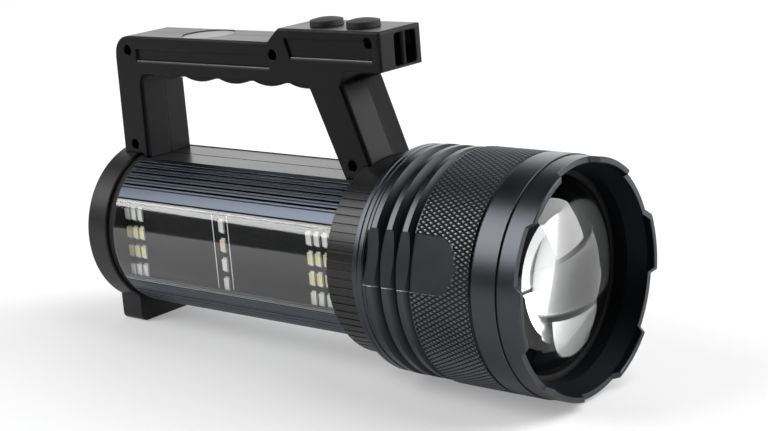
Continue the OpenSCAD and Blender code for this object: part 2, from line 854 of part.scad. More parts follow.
// Post on the cap inside the rear leg
module rear_post() {
    back = rear_x + shell + hole_gap;
    front = rear_leg(rail_top, rear_leg_t) - leg_wall - hole_gap;
    top = rail_top + post_h;
    block([back, -post_half, cap_r / 2], [cap_front, post_half, top]);
    block([back, -post_half, cap_r + hole_gap], [front, post_half, top]);
}

module rear_cap() {
    color("#1b1b1d") difference() {
        at_rest() difference() {
            union() {
                turned([
                    [0, cap_rear], [cap_r - 2 * chamfer, cap_rear], [cap_r, cap_rear + 2 * chamfer],
                    [cap_r, cap_front - chamfer], [cap_r - chamfer, cap_front], [0, cap_front]
                ]);
                foot();
                rear_post();
            }
            rod_x(cap_rear + cap_wall, cap_front + cut, battery_bore_r);
            rod_y(screws[3].x, screws[3].y, -half_w, half_w, screw_r + hole_gap);
            for (angle = cap_screw_angles) around(angle) translate([0, -cap_screw_set, 0]) {
                rod_x(cap_rear - cut, cap_front + cut, screw_r + hole_gap);
                rod_x(cap_rear - cut, cap_rear + screw_head_h + hole_gap, cap_head_r + hole_gap);
            }
        }
        block([-head_len - body_len, -foot_w, -reach], [head_len + body_len, foot_w, 0]);
    }
}

module cap_screws() {
    color("#8a8d92") at_rest() for (angle = cap_screw_angles) around(angle)
        translate([0, -cap_screw_set, 0]) {
            rod_x(cap_rear + hole_gap, cap_rear + screw_head_h + hole_gap, cap_head_r);
            rod_x(cap_rear + screw_head_h, cap_rear + cap_screw_len, screw_r);
        }
}

// Places a shape at each of the three cells
module each_cell() {
    for (angle = [-90, 30, 150]) around(angle) translate([0, -cell_set, 0]) children();
}

module battery_cells() {
    start = body_rear + cell_start;
    color("#3d6fa8") at_rest() each_cell() rod_x(start, start + cell_len, cell_r);
}

module battery_cradle() {
    start = body_rear + cell_start + cell_proud;
    end = body_rear + cell_start + cell_len - cell_proud;
    color("#202124") at_rest() difference() {
        rod_x(start, end, battery_bore_r - fit_gap);
        each_cell() rod_x(start - cut, end + cut, cell_r + fit_gap);
    }
}

module bus_plates() {
    start = body_rear + cell_start;
    color("#c9b26a") at_rest() for (x = [start - bus_t, start + cell_len])
        rod_x(x, x + bus_t, cell_set + cell_r / 2);
}

module driver_board() {
    x = body_front - driver_set;
    color("#1f5b3a") at_rest() rod_x(x - board_t, x, battery_bore_r - hole_gap);
}

// Side view of one half of the handle
function handle_outline() = [
    [rear_leg(rail_top, 0), rail_top], [rear_x, grip_top], [step_x, grip_top],
    [block_rear, block_top], [block_front, block_top], [block_front, block_under],
    [block_front - overhang, block_under], [leg_front(grip_under), grip_under],
    [leg_front(rail_top), rail_top], [leg_back(rail_top), rail_top],
    [leg_back(grip_under), grip_under], [rear_leg(grip_under, rear_leg_t), grip_under],
    [rear_leg(rail_top, rear_leg_t), rail_top]
];

// Side view of the hollow inside the handle
function cavity_outline() = [
    [rear_leg(rail_top, shell), rail_top - cut], [rear_x + shell, grip_top - shell],
    [step_x, grip_top - shell], [block_rear, block_top - shell],
    [cavity_front, block_top - shell], [cavity_front, block_under + shell],
    [block_front - overhang - shell, block_under + shell],
    [leg_front(grip_under) - leg_wall, grip_under],
    [leg_front(rail_top - cut) - leg_wall, rail_top - cut],
    [leg_back(rail_top - cut) + leg_wall, rail_top - cut],
    [leg_back(grip_under + shell) + leg_wall, grip_under + shell],
    [rear_leg(grip_under, rear_leg_t - leg_wall), grip_under + shell],
    [rear_leg(rail_top, rear_leg_t - leg_wall), rail_top - cut]
];

// Round of the grip's rear top corner, as a shape to cut away
module corner_cut() {
    difference() {
        block([rear_x - cut - rear_leg_lean, -half_w - cut, grip_top - corner_r],
              [rear_x + corner_r, cut, grip_top + cut]);
        rod_y(rear_x + corner_r, grip_top - corner_r, -half_w - 2 * cut, 2 * cut, corner_r);
    }
}

// Round of a top edge along the beam, as a shape to cut away
module top_edge_cut(x0, x1, z) {
    r = handle_edge_r;
    difference() {
        block([x0, -half_w - cut, z - r], [x1, r - half_w, z + cut]);
        translate([0, r - half_w, z - r]) rod_x(x0 - cut, x1 + cut, r);
    }
}

// Rounds of the block's front edges, as a shape to cut away
module front_edge_cuts() {
    r = handle_edge_r;
    difference() {
        block([block_front - r, -half_w - cut, block_under - cut],
              [block_front + cut, r - half_w, block_top + cut]);
        translate([block_front - r, r - half_w, block_under - 2 * cut])
            cylinder(h = block_h + 4 * cut, r = r);
    }
    difference() {
        block([block_front - r, -half_w - cut, block_top - r], [block_front + cut, cut, block_top + cut]);
        rod_y(block_front - r, block_top - r, -half_w - 2 * cut, 2 * cut, r);
    }
    difference() {
        block([block_front - r, -half_w - cut, block_under - cut], [block_front + cut, cut, block_under + r]);
        rod_y(block_front - r, block_under + r, -half_w - 2 * cut, 2 * cut, r);
    }
}

// Fillet in the rear top corner of the hand gap, in front of x and inwards from the given side
module gap_fillet(x, side) {
    difference() {
        block([x - cut, side, grip_under - gap_r], [x + gap_r, 0, grip_under]);
        rod_y(x + gap_r, grip_under - gap_r, side - cut, cut, gap_r);
    }
}

// Fillet between the grip and the front leg
module knee_fillet() {
    x = leg_back(grip_under);
    lean = atan2(leg_back(rail_top) - x, gap_h);
    run = gap_r * tan(45 - lean / 2);
    difference() {
        through_y(-half_w, 0) polygon([
            [x - run, grip_under - gap_r], [x - run, grip_under + fit_gap],
            [x + fit_gap, grip_under + fit_gap],
            [x + run * sin(lean) + fit_gap, grip_under - run * cos(lean) + fit_gap * tan(lean)]
        ]);
        rod_y(x - run, grip_under - gap_r, -half_w - cut, cut, gap_r);
    }
}

// Rounded ridges between the fingers
module finger_ridges() {
    for (k = [0 : ridge_count - 1]) intersection() {
        rod_y(first_ridge + k * (last_ridge - first_ridge) / (ridge_count - 1),
              grip_under - ridge_h + ridge_r, ridge_inset - half_w, 0, ridge_r);
        block([rear_x, -half_w, grip_under - 2 * ridge_h], [block_front, 0, grip_under]);
    }
}

// Raised faces on the legs, which rise from a rim beside them to the seam
module leg_faces() {
    lean = atan2(front_leg_lean, gap_h);
    side = face_rim - half_w;
    back = -rear_leg_lean - fit_gap;
    translate([leg_front(rail_top), 0, rail_top]) rotate([0, -lean, 0]) linear_extrude(gap_h / cos(lean))
        polygon([[-cut, side], [face_step, side], [face_step + face_crown, 0], [-cut, 0]]);
    translate([rear_leg(grip_under, rear_leg_t), 0, rail_top]) linear_extrude(gap_h)
        polygon([[back, side], [rear_face_step, side], [rear_face_step + rear_face_crown, 0], [back, 0]]);
}

// Sunk panels on the outer side
module side_panels() {
    low = block_under + panel_rim;
    high = block_top - panel_rim;
    front = block_front - panel_rim;
    difference() {
        block([rear_x + panel_set, -half_w - cut, grip_top - panel_drop - panel_h],
              [step_x + chamfer, panel_depth - half_w, grip_top - panel_drop]);
        rod_y(step_x + step_screw.x, grip_top - step_screw.y, -half_w - 2 * cut, 0,
              screw_head_r + 2 * chamfer);
    }
    through_y(-half_w - cut, panel_depth - half_w) polygon([
        [block_rear + panel_lean, high], [block_rear + 2 * panel_lean, low], [front, low], [front, high]
    ]);
}

// Strap slot, with the seat of its bar
module strap_slot() {
    low = [slot_mid - slot_w / 2, slot_floor];
    soft_slot(block_front - slot_lip, block_front + cut, low, low + [slot_w, slot_h]);
    soft_slot(block_front - slot_depth, block_front + cut, low, low + [slot_w, slot_deep_h]);
    translate([block_front - bar_set, slot_mid, slot_floor - bar_end])
        cylinder(h = slot_h + 2 * bar_end, r = bar_r + fit_gap);
}

// Block along the beam with round corners, from low to high in y and z
module soft_slot(x0, x1, low, high) {
    r = slot_round;
    for (y = [low.x + r, high.x - r], z = [low.y + r, high.y - r]) translate([0, y, z]) rod_x(x0, x1, r);
    block([x0, low.x + r, low.y], [x1, high.x - r, high.y]);
    block([x0, low.x, low.y + r], [x1, high.x, high.y - r]);
}

// What both halves leave free: buttons, inlay and the body below
module handle_clearance() {
    for (x = [rear_button_x, front_button_x]) translate([x, 0, block_top - shell - cut])
        cylinder(h = shell + 2 * cut, r = button_r + button_gap);
    translate([inlay_x, 0, grip_top - inlay_drop - inlay_t])
        cylinder(h = inlay_t + inlay_drop + cut, r = inlay_r + hole_gap);
    rod_x(cap_rear - cut, body_rear, cap_r);
    rod_x(collar_rear, collar_front + reach, collar_r);
}

// Right half of the handle without its screw holes
module handle_half() {
    difference() {
        union() {
            difference() {
                union() {
                    through_y(-half_w, 0) polygon(handle_outline());
                    gap_fillet(rear_leg(grip_under, rear_leg_t), -half_w);
                    knee_fillet();
                }
                through_y(-cavity_w, cut) polygon(cavity_outline());
                corner_cut();
            }
            finger_ridges();
            leg_faces();
            gap_fillet(rear_leg(grip_under, rear_leg_t) + rear_face_step, face_rim - half_w);
            for (s = screws) rod_y(s.x, s.y, -cavity_w - fit_gap, s[2] ? -boss_in : 0, boss_r);
            block([block_rear + ledge_w, -cavity_w - fit_gap, block_under + shell],
                  [cavity_front + fit_gap, ledge_w - cavity_w, switch_z]);
        }
        side_panels();
        top_edge_cut(rear_x - cut, step_x, grip_top);
        top_edge_cut(block_rear - 2 * handle_edge_r, block_front + cut, block_top);
        front_edge_cuts();
        handle_clearance();
    }
}

module handle_right() {
    color("#222224") at_rest() difference() {
        handle_half();
        strap_slot();
        for (s = screws) {
            rod_y(s.x, s.y, -half_w - cut, cut, screw_r + hole_gap);
            rod_y(s.x, s.y, -half_w - cut, screw_seat, screw_head_r + hole_gap);
        }
    }
}

module handle_left() {
    color("#222224") at_rest() difference() {
        mirror([0, 1, 0]) handle_half();
        strap_slot();
        for (s = screws) rod_y(s.x, s.y, -cut, screw_seat + screw_len + cut, screw_r + hole_gap);
    }
}

module handle_screws() {
    color("#6f7276") at_rest() for (s = screws) {
        rod_y(s.x, s.y, screw_seat - screw_head_h, screw_seat, screw_head_r);
        rod_y(s.x, s.y, screw_seat - fit_gap, screw_seat + screw_len, screw_r);
    }
}

module strap_bar() {
    color("#2c2c2e") at_rest() translate([block_front - bar_set, slot_mid, slot_floor - bar_end + fit_gap])
        cylinder(h = slot_h + 2 * bar_end - 2 * fit_gap, r = bar_r);
}

module indicator_window() {
    color("#3a3a3c") at_rest() translate([inlay_x, 0, grip_top - inlay_drop - inlay_t])
        cylinder(h = inlay_t, r = inlay_r);
}

// Rubber button with a domed top and a lip below the block's top wall
module button(x) {
    dome_r = (button_r * button_r + button_dome * button_dome) / (2 * button_dome);
    top = block_top + button_h;
    color("#4a4b4d") at_rest() translate([x, 0, 0]) {
        intersection() {
            translate([0, 0, lip_top - lip_t / 2]) cylinder(h = top + cut - lip_top, r = button_r);
            translate([0, 0, top - dome_r]) sphere(r = dome_r, $fn = 160);
        }
        translate([0, 0, lip_top - lip_t]) cylinder(h = lip_t, r = button_r + button_lip);
    }
}

module button_front() {
    button(front_button_x);
}

module button_rear() {
    button(rear_button_x);
}

module switch_board() {
    color("#1f5b3a") at_rest() block(
        [block_rear + 2 * ledge_w, 2 * hole_gap - cavity_w, switch_z],
        [cavity_front - hole_gap, cavity_w - 2 * hole_gap, switch_z + board_t]
    );
}

module key_switches() {
    half = key_w / 2;
    color("#c8c9cb") at_rest() for (x = [rear_button_x, front_button_x]) {
        block([x - half, -half, keys_z], [x + half, half, keys_z + key_h]);
        translate([x, 0, keys_z + key_h / 2]) cylinder(h = key_h / 2 + key_stem, r = half / 2);
    }
}

bezel_ring();
lens_retainer();
lens();
lens_seal();
head_sleeve();
stop_ring();
focus_barrel();
barrel_seals();
led_heatsink();
led_board();
led_emitter();
front_collar();
body_extrusion();
side_window_right();
side_window_left();
side_board_right();
side_board_left();
side_leds_cool();
side_leds_warm();
top_rail();
rear_gasket();
rear_cap();
cap_screws();
battery_cells();
battery_cradle();
bus_plates();
driver_board();
handle_right();
handle_left();
handle_screws();
strap_bar();
indicator_window();
button_front();
button_rear();
switch_board();
key_switches();
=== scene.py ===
"""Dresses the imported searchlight: its studio, its finishes and the pieces that the solids leave plain.

All lengths are in metres in the floor's frame. New pieces are drawn in the beam frame, with the bezel's
crests at x = 0 and the beam towards +X, and are then laid down with the same rest as the solids.
"""

from __future__ import annotations

import json
import logging
import math
from collections.abc import Callable, Iterable
from dataclasses import dataclass, field
from enum import Enum, IntEnum
from typing import Any

import bmesh
import bpy
from mathutils import Matrix, Vector

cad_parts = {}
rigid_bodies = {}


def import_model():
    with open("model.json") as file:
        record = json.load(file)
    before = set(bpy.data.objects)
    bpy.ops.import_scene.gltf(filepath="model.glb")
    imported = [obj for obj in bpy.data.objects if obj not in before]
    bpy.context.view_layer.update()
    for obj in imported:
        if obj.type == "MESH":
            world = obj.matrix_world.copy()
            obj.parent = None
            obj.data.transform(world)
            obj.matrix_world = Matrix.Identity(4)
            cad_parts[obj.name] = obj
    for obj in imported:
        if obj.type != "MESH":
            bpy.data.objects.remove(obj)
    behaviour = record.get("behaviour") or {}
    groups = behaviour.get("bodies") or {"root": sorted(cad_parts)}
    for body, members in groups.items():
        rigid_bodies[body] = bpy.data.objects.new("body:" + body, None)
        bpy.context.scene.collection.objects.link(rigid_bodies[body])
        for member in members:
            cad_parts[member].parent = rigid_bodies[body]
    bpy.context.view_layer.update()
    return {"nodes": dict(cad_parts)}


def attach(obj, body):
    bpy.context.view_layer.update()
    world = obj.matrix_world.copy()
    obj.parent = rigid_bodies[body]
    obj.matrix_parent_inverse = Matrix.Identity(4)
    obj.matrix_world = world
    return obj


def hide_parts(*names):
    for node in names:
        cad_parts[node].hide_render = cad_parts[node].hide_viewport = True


MM = 0.001
# Distances within which points count as one, and as lying on a cut
WELD = 1e-6
CUT_NEAR = 1e-7
SMOOTH = 30.0
# Turns of a rounded normal, each 1 less its cosine, at which the lighter edges, partly wear and partly a
# painted highlight, start and are full
EDGE_TURNS = (0.02, 0.3)
SIDES = (-1.0, 1.0)
FLAT_ANGLES = (16.0, 136.0, 256.0)
FLAT_HALF = 10.2 * MM
LOG = logging.getLogger("searchlight")
Triple = tuple[float, float, float]
Pair = tuple[float, float]
Colour = Triple
WHITE: Colour = (1.0, 1.0, 1.0)


def shade(colour: Colour, share: float, lift: float = 0.0) -> Colour:
    """Gives a share of a colour, lifted by the same amount in red, green and blue."""
    red, green, blue = colour
    return share * red + lift, share * green + lift, share * blue + lift


@dataclass(frozen=True)
class Rest:
    """How the torch lies on the floor: the rise of its beam and the place of the bezel's crests."""

    rise: float = math.radians(1.515909)
    ahead: float = 111.244612 * MM
    height: float = 44.131159 * MM

    def matrix(self) -> Matrix:
        """Gives the matrix from the beam frame to the floor's frame."""
        return Matrix.Translation((self.ahead, 0.0, self.height)) @ Matrix.Rotation(-self.rise, 4, "Y")


REST = Rest()


def operator(operation: str, swapped: bool = False) -> Callable[[Wire, Any], Wire]:
    """Makes a method of a wire that adds one Math node.

    Args:
        operation: Name of the Math node's operation.
        swapped: Whether the other value comes first.

    Returns:
        The method.
    """

    def method(self: Wire, other: Any) -> Wire:
        """Joins the wire and the other value."""
        first, second = (other, self) if swapped else (self, other)
        return self.math_node(operation, first, second)

    return method


class Wire:
    """A shader socket on which arithmetic adds Math nodes."""

    def __init__(self, shader: Shader, socket: bpy.types.NodeSocket | None) -> None:
        """Keeps the socket and the shader that new nodes go to."""
        self.shader = shader
        self.socket = socket

    def math_node(self, operation: str, first: Any, second: Any = 0.0) -> Wire:
        """Adds one Math node.

        Args:
            operation: Name of the Math node's operation.
            first: Value or wire for the first input.
            second: Value or wire for the second input.

        Returns:
            The node's result.
        """
        return self.shader.node("ShaderNodeMath", {"operation": operation}, {0: first, 1: second})

    __add__ = operator("ADD")
    __radd__ = operator("ADD", swapped=True)
    __sub__ = operator("SUBTRACT")
    __rsub__ = operator("SUBTRACT", swapped=True)
    __mul__ = operator("MULTIPLY")
    __rmul__ = operator("MULTIPLY", swapped=True)
    __truediv__ = operator("DIVIDE")
    __pow__ = operator("POWER")
    __lt__ = operator("LESS_THAN")
    __gt__ = operator("GREATER_THAN")

    def __abs__(self) -> Wire:
        """Drops the sign."""
        return self.math_node("ABSOLUTE", self)

    def ramp(self, low: float, high: float) -> Wire:
        """Rises smoothly from 0 to 1 between two values.

        Args:
            low: Value that gives 0.
            high: Value that gives 1.

        Returns:
            The smoothed share.
        """
        return self.shader.node(
            "ShaderNodeMapRange", {"interpolation_type": "SMOOTHSTEP"}, {0: self, 1: low, 2: high}
        )

    def spread(self, width: float) -> Wire:
        """Turns a share from 0 to 1 into a change of that width about 0."""
        return width * (self - 0.5)


def total(shares: Iterable[Wire]) -> Wire | None:
    """Adds shares up.

    Args:
        shares: The shares, of which there may be none.

    Returns:
        Their sum, or None where there are none.
    """
    result: Wire | None = None
    for share in shares:
        result = share if result is None else result + share
    return result


class Shader:
    """A material whose nodes are added through one method."""

    def __init__(self, name: str) -> None:
        """Makes an empty node material.

        Args:
            name: Name of the material.
        """
        self.material = bpy.data.materials.new(name)
        self.material.use_nodes = True
        self.tree = self.material.node_tree
        self.tree.nodes.clear()

    def node(
        self,
        kind: str,
        settings: dict[str, Any] | None = None,
        inputs: dict[int | str, Any] | None = None,
        output: int | str = 0,
    ) -> Wire:
        """Adds a node, sets it up and joins its sockets.

        Args:
            kind: Type name of the node.
            settings: Properties of the node, set before its sockets.
            inputs: A value or a wire for each socket, by index or name.
            output: Index or name of the output that is handed back.

        Returns:
            The chosen output.
        """
        made = self.tree.nodes.new(kind)
        for name, value in (settings or {}).items():
            setattr(made, name, value)
        for key, value in (inputs or {}).items():
            if isinstance(value, Wire):
                self.tree.links.new(value.socket, made.inputs[key])
            elif isinstance(value, tuple) and made.inputs[key].type == "RGBA":
                made.inputs[key].default_value = (*value, 1.0)
            else:
                made.inputs[key].default_value = value
        return Wire(self, made.outputs[output] if made.outputs else None)

    def place(self) -> Wire:
        """Gives the place on the piece in the floor's frame."""
        return self.node("ShaderNodeTexCoord", output="Object")

    def beam_place(self) -> Wire:
        """Gives the place on the piece in the beam frame."""
        back = REST.matrix().inverted()
        return self.node(
            "ShaderNodeMapping",
            {"vector_type": "POINT"},
            {0: self.place(), 1: tuple(back.translation), 2: tuple(back.to_euler())},
        )

    def stretched(self, place: Wire, scale: Triple) -> Wire:
        """Stretches a place along its axes."""
        return self.node("ShaderNodeMapping", {"vector_type": "POINT"}, {0: place, 3: scale})

    def parts(self, place: Wire) -> tuple[Wire, Wire, Wire]:
        """Splits a place into its x, y and z."""
        x, y, z = self.node("ShaderNodeSeparateXYZ", inputs={0: place}).socket.node.outputs
        return Wire(self, x), Wire(self, y), Wire(self, z)

    def radius(self, beam: Wire) -> Wire:
        """Gives the distance of a place in the beam frame from the beam's axis."""
        _, y, z = self.parts(beam)
        return (y * y + z * z) ** 0.5

    def noise(self, place: Wire, scale: float, detail: float = 2.0, rough: float = 0.5) -> Wire:
        """Adds noise.

        Args:
            place: Where it is read.
            scale: Features to the metre.
            detail: Number of finer layers.
            rough: Share of the finer layers.

        Returns:
            A value from 0 to 1.
        """
        return self.node(
            "ShaderNodeTexNoise",
            inputs={"Vector": place, "Scale": scale, "Detail": detail, "Roughness": rough},
        )

    def blend(self, share: Any, first: Any, second: Any) -> Wire:
        """Mixes two colours by a share."""
        inputs = {0: share, 6: first, 7: second}
        return self.node("ShaderNodeMix", {"data_type": "RGBA"}, inputs, output=2)

    def rounded(self, radius: float) -> Wire:
        """Gives a normal that is rounded at the edges of the piece."""
        return self.node("ShaderNodeBevel", {"samples": 4}, {"Radius": radius})

    def edges(self, normal: Wire) -> Wire:
        """Finds the edges of the piece, where a rounded normal turns from the plain one.

        Args:
            normal: The rounded normal.

        Returns:
            A share that rises from 0 on open faces to 1 at the edges.
        """
        plain = self.node("ShaderNodeNewGeometry", output="Normal")
        same = self.node(
            "ShaderNodeVectorMath", {"operation": "DOT_PRODUCT"}, {0: normal, 1: plain}, output="Value"
        )
        return (1.0 - same).ramp(*EDGE_TURNS)

    def bump(self, height: Wire, depth: float, normal: Wire | None = None) -> Wire:
        """Raises a height on a normal.

        Args:
            height: A value from 0 to 1.
            depth: Rise for a value of 1.
            normal: Normal that it starts from.

        Returns:
            The bumped normal.
        """
        inputs: dict[int | str, Any] = {"Height": height, "Distance": depth, "Strength": 1.0}
        if normal is not None:
            inputs["Normal"] = normal
        return self.node("ShaderNodeBump", inputs=inputs)

    def surface(self, **inputs: Any) -> Wire:
        """Adds a Principled shader, with spaces in socket names written as underscores."""
        sockets = {key.replace("_", " "): value for key, value in inputs.items()}
        return self.node("ShaderNodeBsdfPrincipled", inputs=sockets)

    def mixed(self, share: Wire, first: Wire, second: Wire) -> Wire:
        """Mixes two surfaces by a share."""
        return self.node("ShaderNodeMixShader", inputs={0: share, 1: first, 2: second})

    def finish(self, surface: Wire) -> bpy.types.Material:
        """Joins a surface to the output and hands the material back."""
        self.node("ShaderNodeOutputMaterial", inputs={"Surface": surface})
        return self.material


class Lay(Enum):
    """Way that the tool marks on a metal piece run."""

    TURNED = (900.0, 60.0, 60.0)
    DRAWN = (40.0, 2600.0, 2600.0)


@dataclass(frozen=True)
class Anodised:
    """Dark anodised aluminium with fine tool marks, shade painted into its cuts, and edges lightened
    partly by wear and partly as a painted highlight.
    """

    name: str
    colour: Colour
    rubbed_highlight: Colour
    rough: float = 0.33
    lay: Lay = Lay.TURNED
    edge: float = 0.14 * MM
    black_inside: float = 0.0
    valley: Pair | None = None
    grooves: tuple[float, ...] = ()
    groove_half: float = 2.4 * MM
    groove_foot: float = 40.1 * MM
    groove_depth: float = 2.3 * MM
    groove_slack: float = 0.1 * MM
    flat_angles: tuple[float, ...] = ()
    flat_edge: float = 0.16 * MM
    flat_inset: float = 0.1 * MM
    flat_front: float = -33.0 * MM
    flat_rear: float = -67.9 * MM
    tones: Pair = (0.86, 1.12)
    least_wear_highlight: float = 0.35
    painted_shade_share: float = 0.9
    painted_shade_tone: float = 0.08
    paint: Colour = (0.012, 0.013, 0.015)
    mark_depth: float = 0.006 * MM
    mark_share: float = 0.6
    mark_rough: float = 0.05
    cloud_rough: float = 0.09
    painted_shade_rough: float = 0.15
    paint_rough: float = 0.2

    def _flat_edge_highlights(self, s: Shader, beam: Wire) -> Wire | None:
        """Gives a share along the lower edges of the thumb flats, where a lighter line paints their
        highlight as well as their polished wear.

        Args:
            s: Shader that takes the nodes.
            beam: Place in the beam frame.

        Returns:
            The share, or None for a piece without flats.
        """
        x, y, z = s.parts(beam)
        lines = []
        for angle in map(math.radians, self.flat_angles):
            cosine, sine = math.cos(angle), math.sin(angle)
            off_edge = abs(z * cosine + y * sine + FLAT_HALF - self.flat_inset)
            lines.append((off_edge < self.flat_edge) * (y * cosine - z * sine < 0.0))
        worn_highlight = total(lines)
        return None if worn_highlight is None else worn_highlight * (x < self.flat_front) * (x > self.flat_rear)

    def _painted_groove_shade(self, s: Shader, beam: Wire) -> Wire | None:
        """Gives a share that rises towards the foot of the cuts, where shade is painted into the colour.

        Args:
            s: Shader that takes the nodes.
            beam: Place in the beam frame.

        Returns:
            The share, or None for a piece without cuts.
        """
        x, _, _ = s.parts(beam)
        radius = s.radius(beam)
        shares = [] if self.valley is None else [1.0 - radius.ramp(*self.valley)]
        for middle in self.grooves:
            near = abs(x - middle) / self.groove_half
            wall = near * self.groove_depth + (self.groove_foot - self.groove_slack)
            shares.append((near < 1.0) * (radius > wall) * (1.0 - near))
        return total(shares)

    def material(self) -> bpy.types.Material:
        """Makes the node material.

        Returns:
            The material.
        """
        s = Shader(self.name)
        beam = s.beam_place()
        marks = s.noise(s.stretched(beam, self.lay.value), scale=1.0, detail=3.0)
        cloud = s.noise(beam, scale=55.0, detail=4.0)
        fine = s.noise(beam, scale=5200.0, detail=1.0)
        normal = s.rounded(self.edge)
        # Edges are blended towards a lighter colour: partly rubbed wear, partly a painted highlight
        worn_highlight = s.edges(normal) * (self.least_wear_highlight + (1.0 - self.least_wear_highlight) * cloud)
        dark, light = self.tones
        tint = s.blend(cloud, shade(self.colour, dark), shade(self.colour, light))
        tint = s.blend(worn_highlight, tint, self.rubbed_highlight)
        rough = self.rough + cloud.spread(self.cloud_rough) + marks.spread(self.mark_rough)
        # Painted shade: cuts and valleys are darkened towards their foot
        sunk = self._painted_groove_shade(s, beam)
        if sunk is not None:
            tint = s.blend(self.painted_shade_share * sunk, tint, shade(self.colour, self.painted_shade_tone))
            rough = rough + self.painted_shade_rough * sunk
        # A lighter line along the flats' lower edges: a painted highlight as well as wear
        edges = self._flat_edge_highlights(s, beam)
        if edges is not None:
            tint = s.blend(edges if sunk is None else edges * (1.0 - sunk), tint, self.rubbed_highlight)
        if self.black_inside:
            inside = s.radius(beam) < self.black_inside
            tint = s.blend(inside, tint, self.paint)
            rough = rough + self.paint_rough * inside
        grain = self.mark_share * marks + (1.0 - self.mark_share) * fine
        normal = s.bump(grain, self.mark_depth, normal)
        return s.finish(s.surface(Base_Color=tint, Metallic=1.0, Roughness=rough, Normal=normal))


@dataclass(frozen=True)
class Moulded:
    """Moulded plastic with a fine spark-eroded grain."""

    name: str
    colour: Colour
    rough: float = 0.5
    shine: float = 0.4
    grain: float = 0.012 * MM
    edge: float = 0.9 * MM
    tones: Pair = (0.85, 1.15)
    worn_highlight_tone: float = 1.9
    worn_polish: float = 0.06
    flow_stretch: Triple = (14.0, 60.0, 60.0)
    flow_rough: float = 0.1

    def material(self) -> bpy.types.Material:
        """Makes the node material.

        Returns:
            The material.
        """
        s = Shader(self.name)
        place = s.place()
        grain = s.noise(place, scale=3800.0, detail=2.0, rough=0.6)
        flow = s.noise(s.stretched(place, self.flow_stretch), scale=1.0, detail=3.0)
        normal = s.rounded(self.edge)
        worn_highlight = s.edges(normal) * flow
        dark, light = self.tones
        tint = s.blend(flow, shade(self.colour, dark), shade(self.colour, light))
        # Edges are lightened, partly as wear and partly as a painted highlight
        tint = s.blend(worn_highlight, tint, shade(self.colour, self.worn_highlight_tone))
        rough = self.rough + flow.spread(self.flow_rough) - self.worn_polish * worn_highlight
        normal = s.bump(grain, self.grain, normal)
        return s.finish(
            s.surface(Base_Color=tint, Roughness=rough, Specular_IOR_Level=self.shine, Normal=normal)
        )


@dataclass(frozen=True)
class Rubber:
    """Soft rubber with a dull skin."""

    name: str
    colour: Colour
    rough: float = 0.72
    shine: float = 0.35
    edge: float = 0.35 * MM
    dust_share: float = 0.35
    dust_band: Pair = (0.5, 0.8)
    dust_tone: float = 1.5
    dust_lift: float = 0.01
    skin_depth: float = 0.02 * MM
    skin_rough: float = 0.12

    def material(self) -> bpy.types.Material:
        """Makes the node material.

        Returns:
            The material.
        """
        s = Shader(self.name)
        place = s.place()
        skin = s.noise(place, scale=2400.0, detail=3.0, rough=0.65)
        dust = s.noise(place, scale=160.0, detail=4.0, rough=0.6).ramp(*self.dust_band)
        dusty = shade(self.colour, self.dust_tone, self.dust_lift)
        tint = s.blend(dust * self.dust_share, self.colour, dusty)
        rough = self.rough + skin.spread(self.skin_rough)
        normal = s.bump(skin, self.skin_depth, s.rounded(self.edge))
        return s.finish(
            s.surface(Base_Color=tint, Roughness=rough, Specular_IOR_Level=self.shine, Normal=normal)
        )


@dataclass(frozen=True)
class LensGlass:
    """Polished glass of the zoom lens."""

    name: str = "lens_glass"
    tint: Colour = (0.97, 0.985, 0.98)
    ior: float = 1.5
    speck_band: Pair = (0.72, 0.8)
    speck_rough: float = 0.012

    def material(self) -> bpy.types.Material:
        """Makes the node material.

        Returns:
            The material.
        """
        s = Shader(self.name)
        specks = s.noise(s.place(), scale=900.0, detail=3.0, rough=0.7).ramp(*self.speck_band)
        rough = self.speck_rough * specks
        return s.finish(
            s.surface(Base_Color=self.tint, Roughness=rough, Transmission_Weight=1.0, IOR=self.ior)
        )


@dataclass(frozen=True)
class ClearCover:
    """Clear moulded cover that shows what lies behind it and mirrors the studio at its surface."""

    name: str = "clear_cover"
    tint: Colour = (0.975, 0.98, 0.98)
    both_faces: float = 1.7
    ior: float = 1.5
    rough: float = 0.06
    ripple_stretch: Triple = (18.0, 60.0, 60.0)
    ripple_rough: float = 0.05
    ripple_depth: float = 0.01 * MM
    frost_highlight: float = 0.6
    frost_highlight_colour: Colour = (0.4, 0.4, 0.4)
    frost_rough: float = 0.5
    frost_highlight_edge: float = 16.2 * MM
    glued_highlight_band: Pair = (15.4 * MM, 15.75 * MM)

    def material(self) -> bpy.types.Material:
        """Makes the node material, with lighter frosted bands along the long edges and where the cover
        is glued, which also paint the edges' highlight.

        Returns:
            The material.
        """
        s = Shader(self.name)
        beam = s.beam_place()
        ripple = s.noise(s.stretched(beam, self.ripple_stretch), scale=1.0, detail=1.0)
        normal = s.bump(ripple, self.ripple_depth)
        rough = self.rough + self.ripple_rough * ripple
        mirror = s.surface(Base_Color=WHITE, Metallic=1.0, Roughness=rough, Normal=normal)
        clear = s.node("ShaderNodeBsdfTransparent", inputs={0: self.tint})
        behind = s.node("ShaderNodeNewGeometry", output="Backfacing")
        facing = s.node("ShaderNodeFresnel", inputs={"IOR": self.ior, "Normal": normal})
        cover = s.mixed(facing * self.both_faces * (1.0 - behind), clear, mirror)
        height = abs(s.parts(beam)[2])
        low, high = self.glued_highlight_band
        glued_highlight = (height > low) * (height < high)
        # Lighter bands of frost, which are partly a painted highlight along the cover's edges
        frost_and_highlight = self.frost_highlight * (glued_highlight + (height > self.frost_highlight_edge))
        frosted_highlight = s.surface(Base_Color=self.frost_highlight_colour, Roughness=self.frost_rough)
        return s.finish(s.mixed(frost_and_highlight, cover, frosted_highlight))


